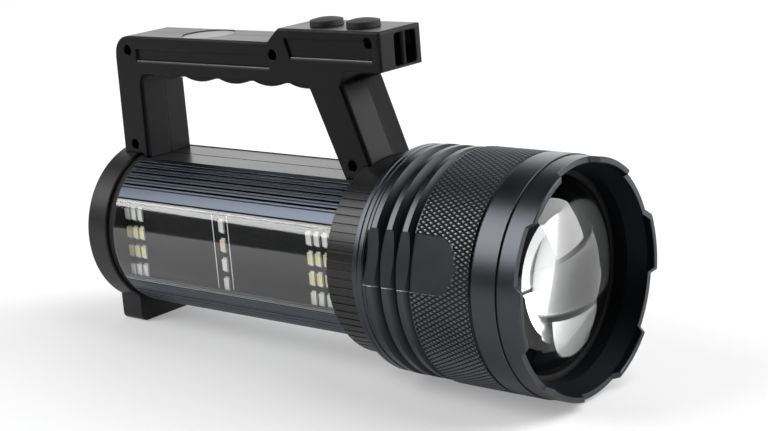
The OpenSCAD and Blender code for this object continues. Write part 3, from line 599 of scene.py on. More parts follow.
@dataclass(frozen=True)
class PrintedBoard:
    """Circuit board under solder mask, with tracks that show faintly and printed lines."""

    name: str
    mask: Colour
    line_places: tuple[float, ...] = ()
    shine: float = 0.4
    rough: float = 0.42
    line_half: float = 0.2 * MM
    line_low: float = -15.5 * MM
    line_high: float = 14.2 * MM
    line_ink: Colour = (0.95, 0.95, 0.93)
    line_rough: float = 0.2
    track_stretch: Triple = (160.0, 320.0, 320.0)
    track_band: Pair = (0.03, 0.06)
    track_share: float = 0.6
    track_tone: float = 1.7
    track_lift: float = 0.004
    track_height: float = 0.7
    weave_rough: float = 0.1
    skin_depth: float = 0.02 * MM

    def material(self) -> bpy.types.Material:
        """Makes the node material.

        Returns:
            The material.
        """
        s = Shader(self.name)
        beam = s.beam_place()
        x, _, z = s.parts(beam)
        cells = s.node(
            "ShaderNodeTexVoronoi",
            {"feature": "DISTANCE_TO_EDGE"},
            {"Vector": s.stretched(beam, self.track_stretch), "Scale": 1.0},
        )
        track = 1.0 - cells.ramp(*self.track_band)
        weave = s.noise(beam, scale=1500.0, detail=2.0)
        copper = shade(self.mask, self.track_tone, self.track_lift)
        tint = s.blend(track * self.track_share, self.mask, copper)
        rough = self.rough + weave.spread(self.weave_rough)
        line = total(abs(x - middle) < self.line_half for middle in self.line_places)
        if line is not None:
            line = line * (z > self.line_low) * (z < self.line_high)
            tint = s.blend(line, tint, self.line_ink)
            rough = rough + self.line_rough * line
        height = self.track_height * track + (1.0 - self.track_height) * weave
        normal = s.bump(height, self.skin_depth)
        return s.finish(
            s.surface(Base_Color=tint, Roughness=rough, Specular_IOR_Level=self.shine, Normal=normal)
        )


@dataclass(frozen=True)
class Phosphor:
    """Silicone over the light-giving face of a chip."""

    name: str
    colour: Colour
    rough: float
    dark_tone: float = 0.88
    grit_rough: float = 0.15

    def material(self) -> bpy.types.Material:
        """Makes the node material.

        Returns:
            The material.
        """
        s = Shader(self.name)
        grit = s.noise(s.place(), scale=5000.0, detail=2.0, rough=0.7)
        tint = s.blend(grit, shade(self.colour, self.dark_tone), self.colour)
        rough = self.rough + self.grit_rough * grit
        return s.finish(s.surface(Base_Color=tint, Roughness=rough))


@dataclass(frozen=True)
class Plated:
    """Bare or plated metal with fine scratches."""

    name: str
    colour: Colour
    rough: float = 0.32
    edge: float = 0.15 * MM
    dark_tone: float = 0.8
    scratch_stretch: Triple = (240.0, 2400.0, 700.0)
    scratch_rough: float = 0.2
    scratch_depth: float = 0.006 * MM

    def material(self) -> bpy.types.Material:
        """Makes the node material.

        Returns:
            The material.
        """
        s = Shader(self.name)
        place = s.place()
        scratch = s.noise(s.stretched(place, self.scratch_stretch), scale=1.0, detail=3.0)
        stain = s.noise(place, scale=300.0, detail=3.0)
        tint = s.blend(stain, shade(self.colour, self.dark_tone), self.colour)
        rough = self.rough + scratch.spread(self.scratch_rough)
        normal = s.bump(scratch, self.scratch_depth, s.rounded(self.edge))
        return s.finish(s.surface(Base_Color=tint, Metallic=1.0, Roughness=rough, Normal=normal))


@dataclass(frozen=True)
class CellWrap:
    """Shrink sleeve on a battery cell."""

    name: str = "cell_wrap"
    colour: Colour = (0.03, 0.11, 0.3)
    dark_tone: float = 0.8
    rough: float = 0.3
    crease_stretch: Triple = (40.0, 700.0, 700.0)
    crease_rough: float = 0.12
    crease_depth: float = 0.03 * MM

    def material(self) -> bpy.types.Material:
        """Makes the node material.

        Returns:
            The material.
        """
        s = Shader(self.name)
        beam = s.beam_place()
        crease = s.noise(s.stretched(beam, self.crease_stretch), scale=1.0, detail=3.0)
        tint = s.blend(crease, shade(self.colour, self.dark_tone), self.colour)
        normal = s.bump(crease, self.crease_depth)
        rough = self.rough + self.crease_rough * crease
        return s.finish(s.surface(Base_Color=tint, Roughness=rough, Normal=normal))


Finish = (
    Anodised | Moulded | Rubber | LensGlass | ClearCover | PrintedBoard | Phosphor | Plated | CellWrap
)

HEAD_DYE: Colour = (0.058, 0.06, 0.067)
# Lighter colour of the edges, partly rubbed wear and partly a painted highlight
HEAD_RUBBED_HIGHLIGHT: Colour = (0.3, 0.305, 0.32)
FINE_GRAIN = 0.002 * MM

HEAD_METAL = Anodised(
    "head_metal",
    HEAD_DYE,
    HEAD_RUBBED_HIGHLIGHT,
    # Walls of these V-grooves get painted shade
    grooves=(-61.4 * MM, -54.4 * MM, -47.4 * MM),
    flat_angles=FLAT_ANGLES,
)
KNURL_METAL = Anodised(
    "knurl_metal",
    (0.142, 0.146, 0.159),
    HEAD_RUBBED_HIGHLIGHT,
    rough=0.4,
    edge=0.05 * MM,
    # Valleys of the knurl are darkened with painted shade
    valley=(42.52 * MM, 42.94 * MM),
)
BEZEL_METAL = Anodised("bezel_metal", HEAD_DYE, HEAD_RUBBED_HIGHLIGHT, black_inside=40.45 * MM)
BODY_METAL = Anodised(
    "body_metal",
    (0.068, 0.077, 0.096),
    (0.45, 0.47, 0.52),
    lay=Lay.DRAWN,
    edge=0.18 * MM,
    # Grooves of the body are darkened with painted shade
    valley=(32.0 * MM, 32.85 * MM),
)
HANDLE_PLASTIC = Moulded(
    "handle_plastic", (0.0042, 0.0042, 0.0044), rough=0.35, shine=0.14, edge=1.0 * MM
)
LIP_PLASTIC = Moulded(
    "lip_plastic", (0.009, 0.009, 0.0093), rough=0.24, shine=0.6, grain=FINE_GRAIN, edge=0.1 * MM
)
COLLAR_PLASTIC = Moulded("collar_plastic", (0.006, 0.006, 0.0063), rough=0.31, shine=0.37, edge=0.3 * MM)
CAP_PLASTIC = Moulded("cap_plastic", (0.008, 0.008, 0.0083), rough=0.4, shine=0.35)
RAIL_PLASTIC = Moulded("rail_plastic", (0.009, 0.009, 0.0093), rough=0.28, shine=0.16, grain=FINE_GRAIN)
INLAY_PLASTIC = Moulded("inlay_plastic", (0.05, 0.05, 0.051), rough=0.34, shine=0.5, grain=FINE_GRAIN)
RETAINER_PLASTIC = Moulded("retainer_plastic", (0.005, 0.005, 0.0053), rough=0.6, shine=0.2)
BUTTON_RUBBER = Rubber("button_rubber", (0.04, 0.04, 0.0415))
SEAL_RUBBER = Rubber("seal_rubber", (0.008, 0.008, 0.008))
SEALANT = Rubber("sealant", (0.003, 0.003, 0.003), rough=0.8, shine=0.08)
LENS_GLASS = LensGlass()
CLEAR_COVER = ClearCover()
SIDE_BOARD = PrintedBoard("side_board", (0.006, 0.006, 0.0065), (-157.9 * MM, -149.8 * MM), shine=0.12)
LAMP_BOARD = PrintedBoard("lamp_board", (0.6, 0.6, 0.58))
GREEN_BOARD = PrintedBoard("green_board", (0.012, 0.09, 0.04))
CHIP_PACKAGE = Phosphor("chip_package", (0.86, 0.86, 0.85), 0.4)
COOL_PHOSPHOR = Phosphor("cool_phosphor", (0.9, 0.9, 0.87), 0.3)
WARM_PHOSPHOR = Phosphor("warm_phosphor", (0.86, 0.82, 0.3), 0.3)
AMBER_PHOSPHOR = Phosphor("amber_phosphor", (0.85, 0.7, 0.45), 0.3)
LAMP_PHOSPHOR = Phosphor("lamp_phosphor", (0.78, 0.62, 0.1), 0.25)
STEEL = Plated("screw_steel", (0.3, 0.31, 0.33))
NICKEL = Plated("nickel_strip", (0.62, 0.6, 0.53))
SINK_METAL = Plated("sink_metal", (0.6, 0.61, 0.63), 0.38)
CELL_WRAP = CellWrap()

NODE_FINISHES: dict[str, Finish] = {
    "bezel_ring": BEZEL_METAL,
    "lens_retainer": RETAINER_PLASTIC,
    "lens": LENS_GLASS,
    "lens_seal": SEAL_RUBBER,
    "head_sleeve": HEAD_METAL,
    "stop_ring": HEAD_METAL,
    "focus_barrel": HEAD_METAL,
    "barrel_seals": SEAL_RUBBER,
    "led_heatsink": SINK_METAL,
    "led_board": LAMP_BOARD,
    "led_emitter": LAMP_PHOSPHOR,
    "front_collar": COLLAR_PLASTIC,
    "body_extrusion": BODY_METAL,
    "side_window_right": CLEAR_COVER,
    "side_window_left": CLEAR_COVER,
    "side_board_right": SIDE_BOARD,
    "side_board_left": SIDE_BOARD,
    "side_leds_cool": CHIP_PACKAGE,
    "side_leds_warm": CHIP_PACKAGE,
    "top_rail": RAIL_PLASTIC,
    "rear_gasket": SEAL_RUBBER,
    "rear_cap": CAP_PLASTIC,
    "cap_screws": STEEL,
    "battery_cells": CELL_WRAP,
    "battery_cradle": CAP_PLASTIC,
    "bus_plates": NICKEL,
    "driver_board": GREEN_BOARD,
    "handle_right": HANDLE_PLASTIC,
    "handle_left": HANDLE_PLASTIC,
    "handle_screws": STEEL,
    "strap_bar": HANDLE_PLASTIC,
    "indicator_window": INLAY_PLASTIC,
    "button_front": BUTTON_RUBBER,
    "button_rear": BUTTON_RUBBER,
    "switch_board": GREEN_BOARD,
    "key_switches": NICKEL,
}


@dataclass
class Wardrobe:
    """Makes each finish's material once and puts it on pieces."""

    made: dict[str, bpy.types.Material] = field(default_factory=dict)

    def material(self, finish: Finish) -> bpy.types.Material:
        """Gives a finish's material, making it the first time.

        Args:
            finish: The finish.

        Returns:
            The one material of that finish.
        """
        if finish.name not in self.made:
            self.made[finish.name] = finish.material()
        return self.made[finish.name]

    def dress(self, piece: bpy.types.Object, *finishes: Finish) -> None:
        """Puts finishes in a piece's material slots, in order.

        Args:
            piece: Piece that is dressed.
            finishes: One finish for each slot.
        """
        if piece.data.materials:
            piece.data.materials.clear()
        for finish in finishes:
            piece.data.materials.append(self.material(finish))


def laid_down(
    name: str, mesh: bmesh.types.BMesh, smooth: float = SMOOTH, closed: bool = True
) -> bpy.types.Object:
    """Lays a bmesh that is drawn in the beam frame on the floor and makes it an object.

    Args:
        name: Name of the piece.
        mesh: The bmesh, which is used up.
        smooth: Angle in degrees above which an edge stays sharp.
        closed: Whether the faces close round solids, and are turned outwards here.

    Returns:
        The new object, at the origin.
    """
    if closed:
        bmesh.ops.recalc_face_normals(mesh, faces=mesh.faces)
    bmesh.ops.transform(mesh, matrix=REST.matrix(), verts=mesh.verts)
    data = bpy.data.meshes.new(name)
    mesh.to_mesh(data)
    mesh.free()
    data.polygons.foreach_set("use_smooth", [True] * len(data.polygons))
    data.set_sharp_from_angle(angle=math.radians(smooth))
    piece = bpy.data.objects.new(name, data)
    bpy.context.scene.collection.objects.link(piece)
    LOG.info("%s: %d faces", name, len(data.polygons))
    return piece


def spun(
    name: str, outline: list[Pair], steps: int, closed: bool, smooth: float = SMOOTH
) -> bpy.types.Object:
    """Spins an outline round the beam's axis into a piece.

    Args:
        name: Name of the piece.
        outline: Points, each by its place along the beam and its distance from the axis.
        steps: Number of segments round the axis.
        closed: Whether the last point joins the first.
        smooth: Angle in degrees above which an edge stays sharp.

    Returns:
        The new object, at the origin.
    """
    mesh = bmesh.new()
    verts = [mesh.verts.new((along, reach, 0.0)) for along, reach in outline]
    ends = verts[1:] + verts[:1] if closed else verts[1:]
    edges = [mesh.edges.new(pair) for pair in zip(verts, ends)]
    bmesh.ops.spin(
        mesh,
        geom=verts + edges,
        cent=(0.0, 0.0, 0.0),
        axis=(1.0, 0.0, 0.0),
        angle=2.0 * math.pi,
        steps=steps,
        use_merge=True,
    )
    bmesh.ops.remove_doubles(mesh, verts=mesh.verts, dist=WELD)
    return laid_down(name, mesh, smooth)


def block(mesh: bmesh.types.BMesh, place: Matrix, size: Iterable[float]) -> set[bmesh.types.BMFace]:
    """Adds a block.

    Args:
        mesh: Bmesh that takes it.
        place: Place of its middle and direction of its sides.
        size: Lengths of its sides.

    Returns:
        Its faces.
    """
    shape = Matrix.Diagonal((*size, 1.0))
    made = bmesh.ops.create_cube(mesh, size=1.0, matrix=place @ shape)["verts"]
    return {f for v in made for f in v.link_faces}


def rod(
    mesh: bmesh.types.BMesh, place: Matrix, radius: float, length: float, steps: int, taper: float = 1.0
) -> set[bmesh.types.BMFace]:
    """Adds a round rod.

    Args:
        mesh: Bmesh that takes it.
        place: Place of its middle, with the rod along +Z.
        radius: Its radius.
        length: Its length.
        steps: Number of sides.
        taper: Share of the radius that is left at the +Z end.

    Returns:
        Its faces.
    """
    made = bmesh.ops.create_cone(
        mesh,
        cap_ends=True,
        segments=steps,
        radius1=radius,
        radius2=radius * taper,
        depth=length,
        matrix=place,
    )["verts"]
    return {f for v in made for f in v.link_faces}


@dataclass
class ThumbFlats:
    """The flats that are cut across the fins and the grip, as the knurl has to leave them free."""

    angles: tuple[float, ...] = FLAT_ANGLES
    half: float = FLAT_HALF
    tip: float = -37.2 * MM

    def local(self, angle: float, point: Vector) -> Vector:
        """Turns a point so that the flat at an angle faces -Y."""
        return Matrix.Rotation(math.radians(angle), 3, "X") @ point

    def near(self, angle: float, point: Vector, room: float) -> bool:
        """Tells whether a point lies on a flat, or within some room of it.

        Args:
            angle: Angle of the flat.
            point: Point in the beam frame.
            room: Distance that still counts.

        Returns:
            True on the flat's side and within its outline.
        """
        p = self.local(angle, point)
        ahead = max(p.x - self.tip, 0.0)
        return p.y < 0.0 and math.hypot(ahead, p.z) < self.half + room and abs(p.z) < self.half + room


@dataclass
class KnurledGrip:
    """Diamond knurl round the head."""

    flats: ThumbFlats
    radius: float = 42.45 * MM
    front: float = -21.05 * MM
    rear: float = -45.55 * MM
    columns: int = 294
    rows: int = 15
    grid_half: float = 0.5
    peak: float = 0.71 * MM
    valley: float = 0.02 * MM
    top_share: float = 0.9
    flat_share: float = 32.0
    cut_room: float = 4.0 * MM
    tuck: float = 0.3 * MM
    smooth: float = 12.0

    def _wrap(self, mesh: bmesh.types.BMesh) -> None:
        """Bends a flat grid round the head and raises every other point.

        Args:
            mesh: Bmesh with the grid.
        """
        for vert in mesh.verts:
            column = round((vert.co.x + self.grid_half) * self.columns)
            row = round((vert.co.y + self.grid_half) * self.rows)
            rise = self.peak if (row + column) % 2 else self.valley
            turn = 2.0 * math.pi * column / self.columns
            along = self.rear + (self.front - self.rear) * row / self.rows
            reach = self.radius + rise
            vert.co = (along, reach * math.cos(turn), reach * math.sin(turn))

    def _flatten_tops(self, mesh: bmesh.types.BMesh) -> None:
        """Cuts the points of the diamonds off, as the grooves leave a flat between them.

        Args:
            mesh: Bmesh with the knurl.
        """
        level = self.radius + self.top_share * self.peak
        points = [v for v in mesh.verts if math.hypot(v.co.y, v.co.z) > level]
        bmesh.ops.bevel(
            mesh,
            geom=points,
            offset=self.flat_share,
            offset_type="PERCENT",
            affect="VERTICES",
            segments=1,
            profile=0.5,
            material=-1,
        )

    def _clear_flat(self, mesh: bmesh.types.BMesh, angle: float) -> None:
        """Cuts the knurl along a flat's sides and takes away what lies on the flat.

        Args:
            mesh: Bmesh with the knurl.
            angle: Angle of the flat.
        """
        turn = Matrix.Rotation(-math.radians(angle), 3, "X")
        for side in SIDES:
            middles = ((f, f.calc_center_median()) for f in mesh.faces)
            faces = [f for f, middle in middles if self.flats.near(angle, middle, self.cut_room)]
            edges = dict.fromkeys(e for f in faces for e in f.edges)
            verts = dict.fromkeys(v for f in faces for v in f.verts)
            bmesh.ops.bisect_plane(
                mesh,
                geom=[*faces, *edges, *verts],
                dist=CUT_NEAR,
                plane_co=turn @ Vector((0.0, 0.0, side * self.flats.half)),
                plane_no=turn @ Vector((0.0, 0.0, 1.0)),
            )
        cut = [f for f in mesh.faces if self.flats.near(angle, f.calc_center_median(), 0.0)]
        bmesh.ops.delete(mesh, geom=cut, context="FACES")

    def build(self) -> bpy.types.Object:
        """Builds the grip's skin.

        Returns:
            The new piece.
        """
        mesh = bmesh.new()
        bmesh.ops.create_grid(
            mesh, x_segments=self.columns, y_segments=self.rows, size=self.grid_half
        )
        self._wrap(mesh)
        bmesh.ops.remove_doubles(mesh, verts=mesh.verts, dist=WELD)
        bmesh.ops.triangulate(mesh, faces=mesh.faces, quad_method="SHORT_EDGE")
        self._flatten_tops(mesh)
        for angle in self.flats.angles:
            self._clear_flat(mesh, angle)
        rim = [e for e in mesh.edges if e.is_boundary]
        made = bmesh.ops.extrude_edge_only(mesh, edges=rim)["geom"]
        for vert in (v for v in made if isinstance(v, bmesh.types.BMVert)):
            ring = Vector((0.0, vert.co.y, vert.co.z))
            vert.co -= ring * ((ring.length - self.radius + self.tuck) / ring.length)
        bmesh.ops.recalc_face_normals(mesh, faces=mesh.faces)
        outward = 0.0
        for face in mesh.faces:
            middle = face.calc_center_median()
            outward += face.normal.dot(Vector((0.0, middle.y, middle.z)))
        if outward < 0.0:
            bmesh.ops.reverse_faces(mesh, faces=mesh.faces)
        return laid_down("knurled_grip", mesh, self.smooth, closed=False)


@dataclass
class ZoomLens:
    """Domed lens with a flat back and a thin edge in its seat."""

    edge_r: float = 38.85 * MM
    view_r: float = 35.2 * MM
    back: float = -19.2 * MM
    front: float = -16.4 * MM
    dome: float = 13.0 * MM
    arc_steps: int = 36
    turn_steps: int = 144
    smooth: float = 25.0

    def _profile(self) -> list[Pair]:
        """Works out half of the lens's outline.

        Returns:
            Points from the middle of its back to its apex, each by place and distance from the axis.
        """
        ball = (self.view_r**2 + self.dome**2) / (2.0 * self.dome)
        centre = self.front + self.dome - ball
        widest = math.asin(self.view_r / ball)
        arc = [
            (centre + ball * math.cos(a), ball * math.sin(a))
            for a in (widest * (1.0 - k / self.arc_steps) for k in range(self.arc_steps + 1))
        ]
        edge = [(self.back, 0.0), (self.back, self.edge_r), (self.front, self.edge_r)]
        return edge + arc

    def build(self) -> bpy.types.Object:
        """Spins the outline into the lens."""
        return spun("zoom_lens", self._profile(), self.turn_steps, closed=False, smooth=self.smooth)


@dataclass
class SeamRing:
    """Thin ring that fills the seam between the bezel and the smooth ring almost to the surface."""

    outer: float = 42.32 * MM
    inner: float = 41.6 * MM
    front: float = -9.42 * MM
    rear: float = -9.88 * MM
    steps: int = 160

    def build(self) -> bpy.types.Object:
        """Spins the ring's section."""
        section = [
            (self.front, self.inner),
            (self.front, self.outer),
            (self.rear, self.outer),
            (self.rear, self.inner),
        ]
        return spun("seam_ring", section, self.steps, closed=True)


class ChipSlot(IntEnum):
    """Material slots of the chips after the package's own."""

    TIN = 1
    FACE = 2
    AMBER = 3
    COOL = 4


@dataclass
class LampChips:
    """Rows of chips on the two side boards, in millimetres."""

    columns: tuple[float, ...] = (-205.9, -202.2, -198.5, -152.55, -107.0, -103.1, -98.9)
    centre_column: float = -152.55
    cool_rows: tuple[float, ...] = (9.95, -13.2)
    warm_rows: tuple[float, ...] = (2.25, -5.5)
    board_face: float = 25.0
    size: Triple = (2.6, 0.9, 4.5)
    rim: float = 0.3
    slope: float = 0.12
    sink: float = 0.12
    pad_share: float = 0.8
    pad_deep: float = 0.28
    pad_high: float = 0.9
    pad_shift: float = 0.2

    def _chip(self, mesh: bmesh.types.BMesh, x: float, z: float, side: float, phosphor: int) -> None:
        """Adds one chip with a sunk light-giving face and a tinned end above and below.

        Args:
            mesh: Bmesh that takes it.
            x: Place along the beam, in millimetres.
            z: Height, in millimetres.
            side: -1 on the right board and 1 on the left one.
            phosphor: Material slot of the light-giving face.
        """
        wide, deep, high = self.size
        middle = Vector((x, side * (self.board_face + deep / 2.0), z)) * MM
        faces = block(mesh, Matrix.Translation(middle), (wide * MM, deep * MM, high * MM))
        face = max(faces, key=lambda f: f.calc_center_median().y * side)
        bmesh.ops.inset_region(mesh, faces=[face], thickness=self.rim * MM, depth=0.0)
        bmesh.ops.inset_region(mesh, faces=[face], thickness=self.slope * MM, depth=-self.sink * MM)
        face.material_index = phosphor
        pad_size = Vector((wide * self.pad_share, self.pad_deep, self.pad_high)) * MM
        for end in SIDES:
            out = side * (self.board_face + self.pad_deep / 2.0)
            tin = Vector((x, out, z + end * (high / 2.0 + self.pad_shift))) * MM
            for pad in block(mesh, Matrix.Translation(tin), pad_size):
                pad.material_index = ChipSlot.TIN

    def warm_slot(self, x: float, z: float) -> int:
        """Picks the phosphor of a chip in the warm rows, of which the centre column differs.

        Args:
            x: Place along the beam, in millimetres.
            z: Height, in millimetres.

        Returns:
            The phosphor's slot.
        """
        if x != self.centre_column:
            return ChipSlot.FACE
        return ChipSlot.AMBER if z > 0.0 else ChipSlot.COOL

    def build(
        self, name: str, rows: Iterable[float], pick: Callable[[float, float], int]
    ) -> bpy.types.Object:
        """Builds the chips of some rows on both boards.

        Args:
            name: Name of the piece.
            rows: Heights of the rows, in millimetres.
            pick: Gives the phosphor's slot for a column and a row.

        Returns:
            The new piece.
        """
        mesh = bmesh.new()
        for z in rows:
            for x in self.columns:
                for side in SIDES:
                    self._chip(mesh, x, z, side, pick(x, z))
        return laid_down(name, mesh)


@dataclass
class WindowSeals:
    """Beads of sealant in the grooves along the side windows."""

    radius: float = 32.72 * MM
    foot: float = 31.9 * MM
    width: float = 0.72 * MM
    height: float = 17.16 * MM
    front: float = -89.2 * MM
    rear: float = -207.5 * MM
    edge_r: float = 0.2 * MM
    long_edge: float = 1.0 * MM

    def build(self) -> bpy.types.Object:
        """Builds the four beads.

        Returns:
            The new piece.
        """
        mesh = bmesh.new()
        angle = math.asin(self.height / self.radius)
        size = (self.front - self.rear, self.radius - self.foot, self.width)
        for side in SIDES:
            place = Vector((self.front + self.rear, side * (self.radius + self.foot), 0.0)) / 2.0
            for end in SIDES:
                turn = Matrix.Rotation(side * end * angle, 4, "X")
                block(mesh, turn @ Matrix.Translation(place), size)
        along = [e for e in mesh.edges if abs(e.verts[0].co.x - e.verts[1].co.x) > self.long_edge]
        bmesh.ops.bevel(
            mesh,
            geom=along,
            offset=self.edge_r,
            affect="EDGES",
            segments=2,
            profile=0.5,
            material=-1,
        )
        return laid_down("window_seals", mesh)


@dataclass
class PanelLips:
    """Half-round lips along the lower edges of the handle's side panels, in millimetres."""

    runs: tuple[Triple, ...] = ((-205.2, -132.0, 69.72), (-120.6, -80.9, 74.22))
    middle: float = 11.32
    radius: float = 0.56
    steps: int = 20

    def build(self) -> bpy.types.Object:
        """Builds the lips of both sides.

        Returns:
            The new piece.
        """
        mesh = bmesh.new()
        along = Matrix.Rotation(math.pi / 2.0, 4, "Y")
        for rear, front, height in self.runs:
            for side in SIDES:
                middle = Vector(((rear + front) / 2.0, side * self.middle, height)) * MM
                place = Matrix.Translation(middle) @ along
                rod(mesh, place, self.radius * MM, (front - rear) * MM, self.steps)
        return laid_down("panel_lips", mesh)


@dataclass
class Screws:
    """Screws with a six-lobed recess in the head."""

    head_r: float
    head_h: float
    shank_r: float
    shank_len: float
    head_steps: int = 24
    shank_steps: int = 16
    rim_share: float = 0.42
    lobe_share: float = 0.78
    draft_share: float = 0.02
    recess_share: float = 0.55
    taper: float = 0.96

    def _screw(self, mesh: bmesh.types.BMesh, where: Matrix) -> None:
        """Adds one screw with its head's face at a place and its shank along that place's +Z.

        Args:
            mesh: Bmesh that takes it.
            where: Place and direction.
        """
        head = where @ Matrix.Translation((0.0, 0.0, self.head_h / 2.0))
        faces = rod(mesh, head, self.head_r, self.head_h, self.head_steps)
        inward = where.to_3x3() @ Vector((0.0, 0.0, 1.0))
        face = min(faces, key=lambda f: f.calc_center_median().dot(inward))
        bmesh.ops.inset_region(mesh, faces=[face], thickness=self.rim_share * self.head_r, depth=0.0)
        centre = face.calc_center_median()
        for k, vert in enumerate(face.verts):
            # Two points out and two points in make one of the six lobes
            if k % 4 in (2, 3):
                vert.co = centre + self.lobe_share * (vert.co - centre)
        bmesh.ops.inset_region(
            mesh,
            faces=[face],
            thickness=self.draft_share * self.head_r,
            depth=-self.recess_share * self.head_h,
        )
        shank = where @ Matrix.Translation((0.0, 0.0, self.head_h + self.shank_len / 2.0))
        rod(mesh, shank, self.shank_r, self.shank_len, self.shank_steps, self.taper)

    def build(self, name: str, places: Iterable[Matrix]) -> bpy.types.Object:
        """Builds screws at some places.

        Args:
            name: Name of the piece.
            places: Place and direction of each screw.

        Returns:
            The new piece.
        """
        mesh = bmesh.new()
        for where in places:
            self._screw(mesh, where)
        return laid_down(name, mesh)


@dataclass
class Torch:
    """The whole torch: the solids' finishes and the pieces that stand for plain solids."""

    nodes: dict[str, bpy.types.Object]
    wardrobe: Wardrobe
    handle_screws: tuple[Pair, ...] = (
        (-210.2, 74.1),
        (-130.0, 75.1),
        (-82.7, 80.9),
        (-212.0, 35.3),
        (-94.645, 35.3),
    )
    handle_face: float = -7.6
    cap_face: float = -222.65
    cap_ring: float = 27.5
    cap_angles: tuple[float, ...] = (45.0, 135.0, 225.0, 315.0)

    def dress_solids(self) -> None:
        """Puts a finish on every solid."""
        for name, node in self.nodes.items():
            self.wardrobe.dress(node, NODE_FINISHES[name])

    def build_head(self) -> None:
        """Builds the grip's knurl, the ring in the bezel's seam and the lens."""
        knurl = KnurledGrip(ThumbFlats()).build()
        self.wardrobe.dress(knurl, KNURL_METAL)
        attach(knurl, "zoom_head")
        seam = SeamRing().build()
        self.wardrobe.dress(seam, SEAL_RUBBER)
        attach(seam, "zoom_head")
        lens = ZoomLens().build()
        self.wardrobe.dress(lens, LENS_GLASS)
        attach(lens, "zoom_head")
        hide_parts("lens")

    def build_lamps(self) -> None:
        """Builds the chips behind the side windows and the windows' beads of sealant."""
        chips = LampChips()
        cool = chips.build("cool_chips", chips.cool_rows, lambda x, z: ChipSlot.FACE)
        self.wardrobe.dress(cool, CHIP_PACKAGE, NICKEL, COOL_PHOSPHOR)
        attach(cool, "torch")
        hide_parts("side_leds_cool")
        warm = chips.build("warm_chips", chips.warm_rows, chips.warm_slot)
        self.wardrobe.dress(warm, CHIP_PACKAGE, NICKEL, WARM_PHOSPHOR, AMBER_PHOSPHOR, COOL_PHOSPHOR)
        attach(warm, "torch")
        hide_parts("side_leds_warm")
        seals = WindowSeals().build()
        self.wardrobe.dress(seals, SEALANT)
        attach(seals, "torch")

    def build_handle(self) -> None:
        """Builds the lips of the handle's side panels."""
        lips = PanelLips().build()
        self.wardrobe.dress(lips, LIP_PLASTIC)
        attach(lips, "torch")

    def build_screws(self) -> None:
        """Builds the screws of the handle and of the rear cap."""
        across = Matrix.Rotation(-math.pi / 2.0, 4, "X")
        places = [
            Matrix.Translation(Vector((x, self.handle_face, z)) * MM) @ across
            for x, z in self.handle_screws
        ]
        short = Screws(head_r=2.0 * MM, head_h=1.8 * MM, shank_r=1.45 * MM, shank_len=13.6 * MM)
        handle = short.build("handle_screw_set", places)
        self.wardrobe.dress(handle, STEEL)
        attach(handle, "torch")
        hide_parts("handle_screws")
        along = Matrix.Rotation(math.pi / 2.0, 4, "Y")
        caps = [
            Matrix.Rotation(-math.radians(a), 4, "X")
            @ Matrix.Translation(Vector((self.cap_face, -self.cap_ring, 0.0)) * MM)
            @ along
            for a in self.cap_angles
        ]
        long = Screws(head_r=2.5 * MM, head_h=1.8 * MM, shank_r=1.45 * MM, shank_len=22.0 * MM)
        cap = long.build("cap_screw_set", caps)
        self.wardrobe.dress(cap, STEEL)
        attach(cap, "torch")
        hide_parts("cap_screws")

    def build(self) -> None:
        """Dresses the solids and builds the new pieces."""
        self.dress_solids()
        self.build_head()
        self.build_lamps()
        self.build_handle()
        self.build_screws()


@dataclass
class Lamp:
    """A softbox."""

    name: str
    place: Triple
    aim: Triple
    size: Pair
    power: float


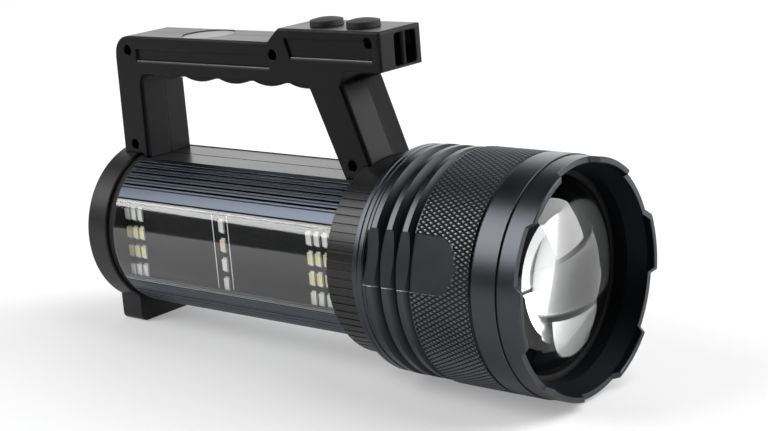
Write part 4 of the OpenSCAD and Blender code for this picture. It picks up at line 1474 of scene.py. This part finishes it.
@dataclass
class Studio:
    """Camera, floor and soft light."""

    camera_place: Triple = (0.33008041, -0.48615680, 0.17338002)
    camera_right: Triple = (0.76582964, 0.63802128, -0.08021098)
    camera_up: Triple = (-0.09456449, 0.23512188, 0.96735477)
    focal: float = 83.34
    sensor: float = 36.0
    floor_half: float = 14.0
    floor_tones: tuple[Colour, Colour] = ((0.9, 0.9, 0.9), (0.92, 0.92, 0.92))
    floor_lift: float = 0.3
    mirror_lift: float = 0.05
    dim: float = 0.05
    lamps: tuple[Lamp, ...] = (
        Lamp("left_softbox", (-0.95, -1.0, 1.11), (0.0, 0.0, 0.06), (1.0, 1.18), 23.5),
        Lamp("top_softbox", (0.7, 0.6, 1.4), (0.0, 0.0, 0.0), (1.5, 1.5), 20.0),
        Lamp("back_softbox", (-1.1, 1.3, 0.6), (0.0, 0.0, 0.06), (2.2, 1.1), 13.5),
        Lamp("right_softbox", (1.2, 1.05, 0.62), (0.0, 0.0, 0.06), (1.1, 1.1), 23.0),
    )

    def build_camera(self) -> None:
        """Makes the camera at the photograph's place."""
        data = bpy.data.cameras.new("camera")
        data.sensor_width = self.sensor
        data.lens = self.focal
        camera = bpy.data.objects.new("camera", data)
        right, up = Vector(self.camera_right), Vector(self.camera_up)
        turn = Matrix((right, up, right.cross(up))).transposed().to_4x4()
        camera.matrix_world = REST.matrix() @ Matrix.Translation(self.camera_place) @ turn
        bpy.context.scene.collection.objects.link(camera)
        bpy.context.scene.camera = camera

    def build_floor(self) -> None:
        """Makes the pale floor, which the camera and reflections see lifted towards white."""
        mesh = bmesh.new()
        bmesh.ops.create_grid(mesh, x_segments=2, y_segments=2, size=self.floor_half)
        data = bpy.data.meshes.new("floor")
        mesh.to_mesh(data)
        mesh.free()
        floor = bpy.data.objects.new("floor", data)
        bpy.context.scene.collection.objects.link(floor)
        s = Shader("floor_paint")
        path = s.node("ShaderNodeLightPath", output="Is Camera Ray")
        outputs = path.socket.node.outputs
        seen = path + Wire(s, outputs["Is Transmission Ray"]) > 0.5
        mirrored = (1.0 - seen) * Wire(s, outputs["Is Glossy Ray"])
        cloth = s.noise(s.place(), scale=3.0, detail=2.0)
        paint = s.node("ShaderNodeBsdfDiffuse", inputs={"Color": s.blend(cloth, *self.floor_tones)})
        white = s.node("ShaderNodeEmission", inputs={"Color": WHITE, "Strength": 1.0})
        share = seen * self.floor_lift + mirrored * self.mirror_lift
        data.materials.append(s.finish(s.mixed(share, paint, white)))

    def build_light(self) -> None:
        """Makes the softboxes and the dim room round them."""
        scene = bpy.context.scene
        scene.world = bpy.data.worlds.new("room")
        scene.world.use_nodes = True
        sky = scene.world.node_tree.nodes["Background"]
        sky.inputs["Color"].default_value = (*WHITE, 1.0)
        sky.inputs["Strength"].default_value = self.dim
        for lamp in self.lamps:
            data = bpy.data.lights.new(lamp.name, "AREA")
            data.shape = "RECTANGLE"
            data.size, data.size_y = lamp.size
            data.energy = lamp.power
            box = bpy.data.objects.new(lamp.name, data)
            box.location = lamp.place
            aim = Vector(lamp.aim) - Vector(lamp.place)
            box.rotation_euler = aim.to_track_quat("-Z", "Y").to_euler()
            scene.collection.objects.link(box)
        scene.view_settings.view_transform = "Standard"


def main() -> None:
    """Builds the studio and the torch."""
    logging.basicConfig(level=logging.INFO, format="%(message)s")
    for spare in list(bpy.data.objects):
        bpy.data.objects.remove(spare)
    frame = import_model()
    studio = Studio()
    studio.build_camera()
    Torch(frame["nodes"], Wardrobe()).build()
    studio.build_floor()
    studio.build_light()


if __name__ == "__main__":
    main()
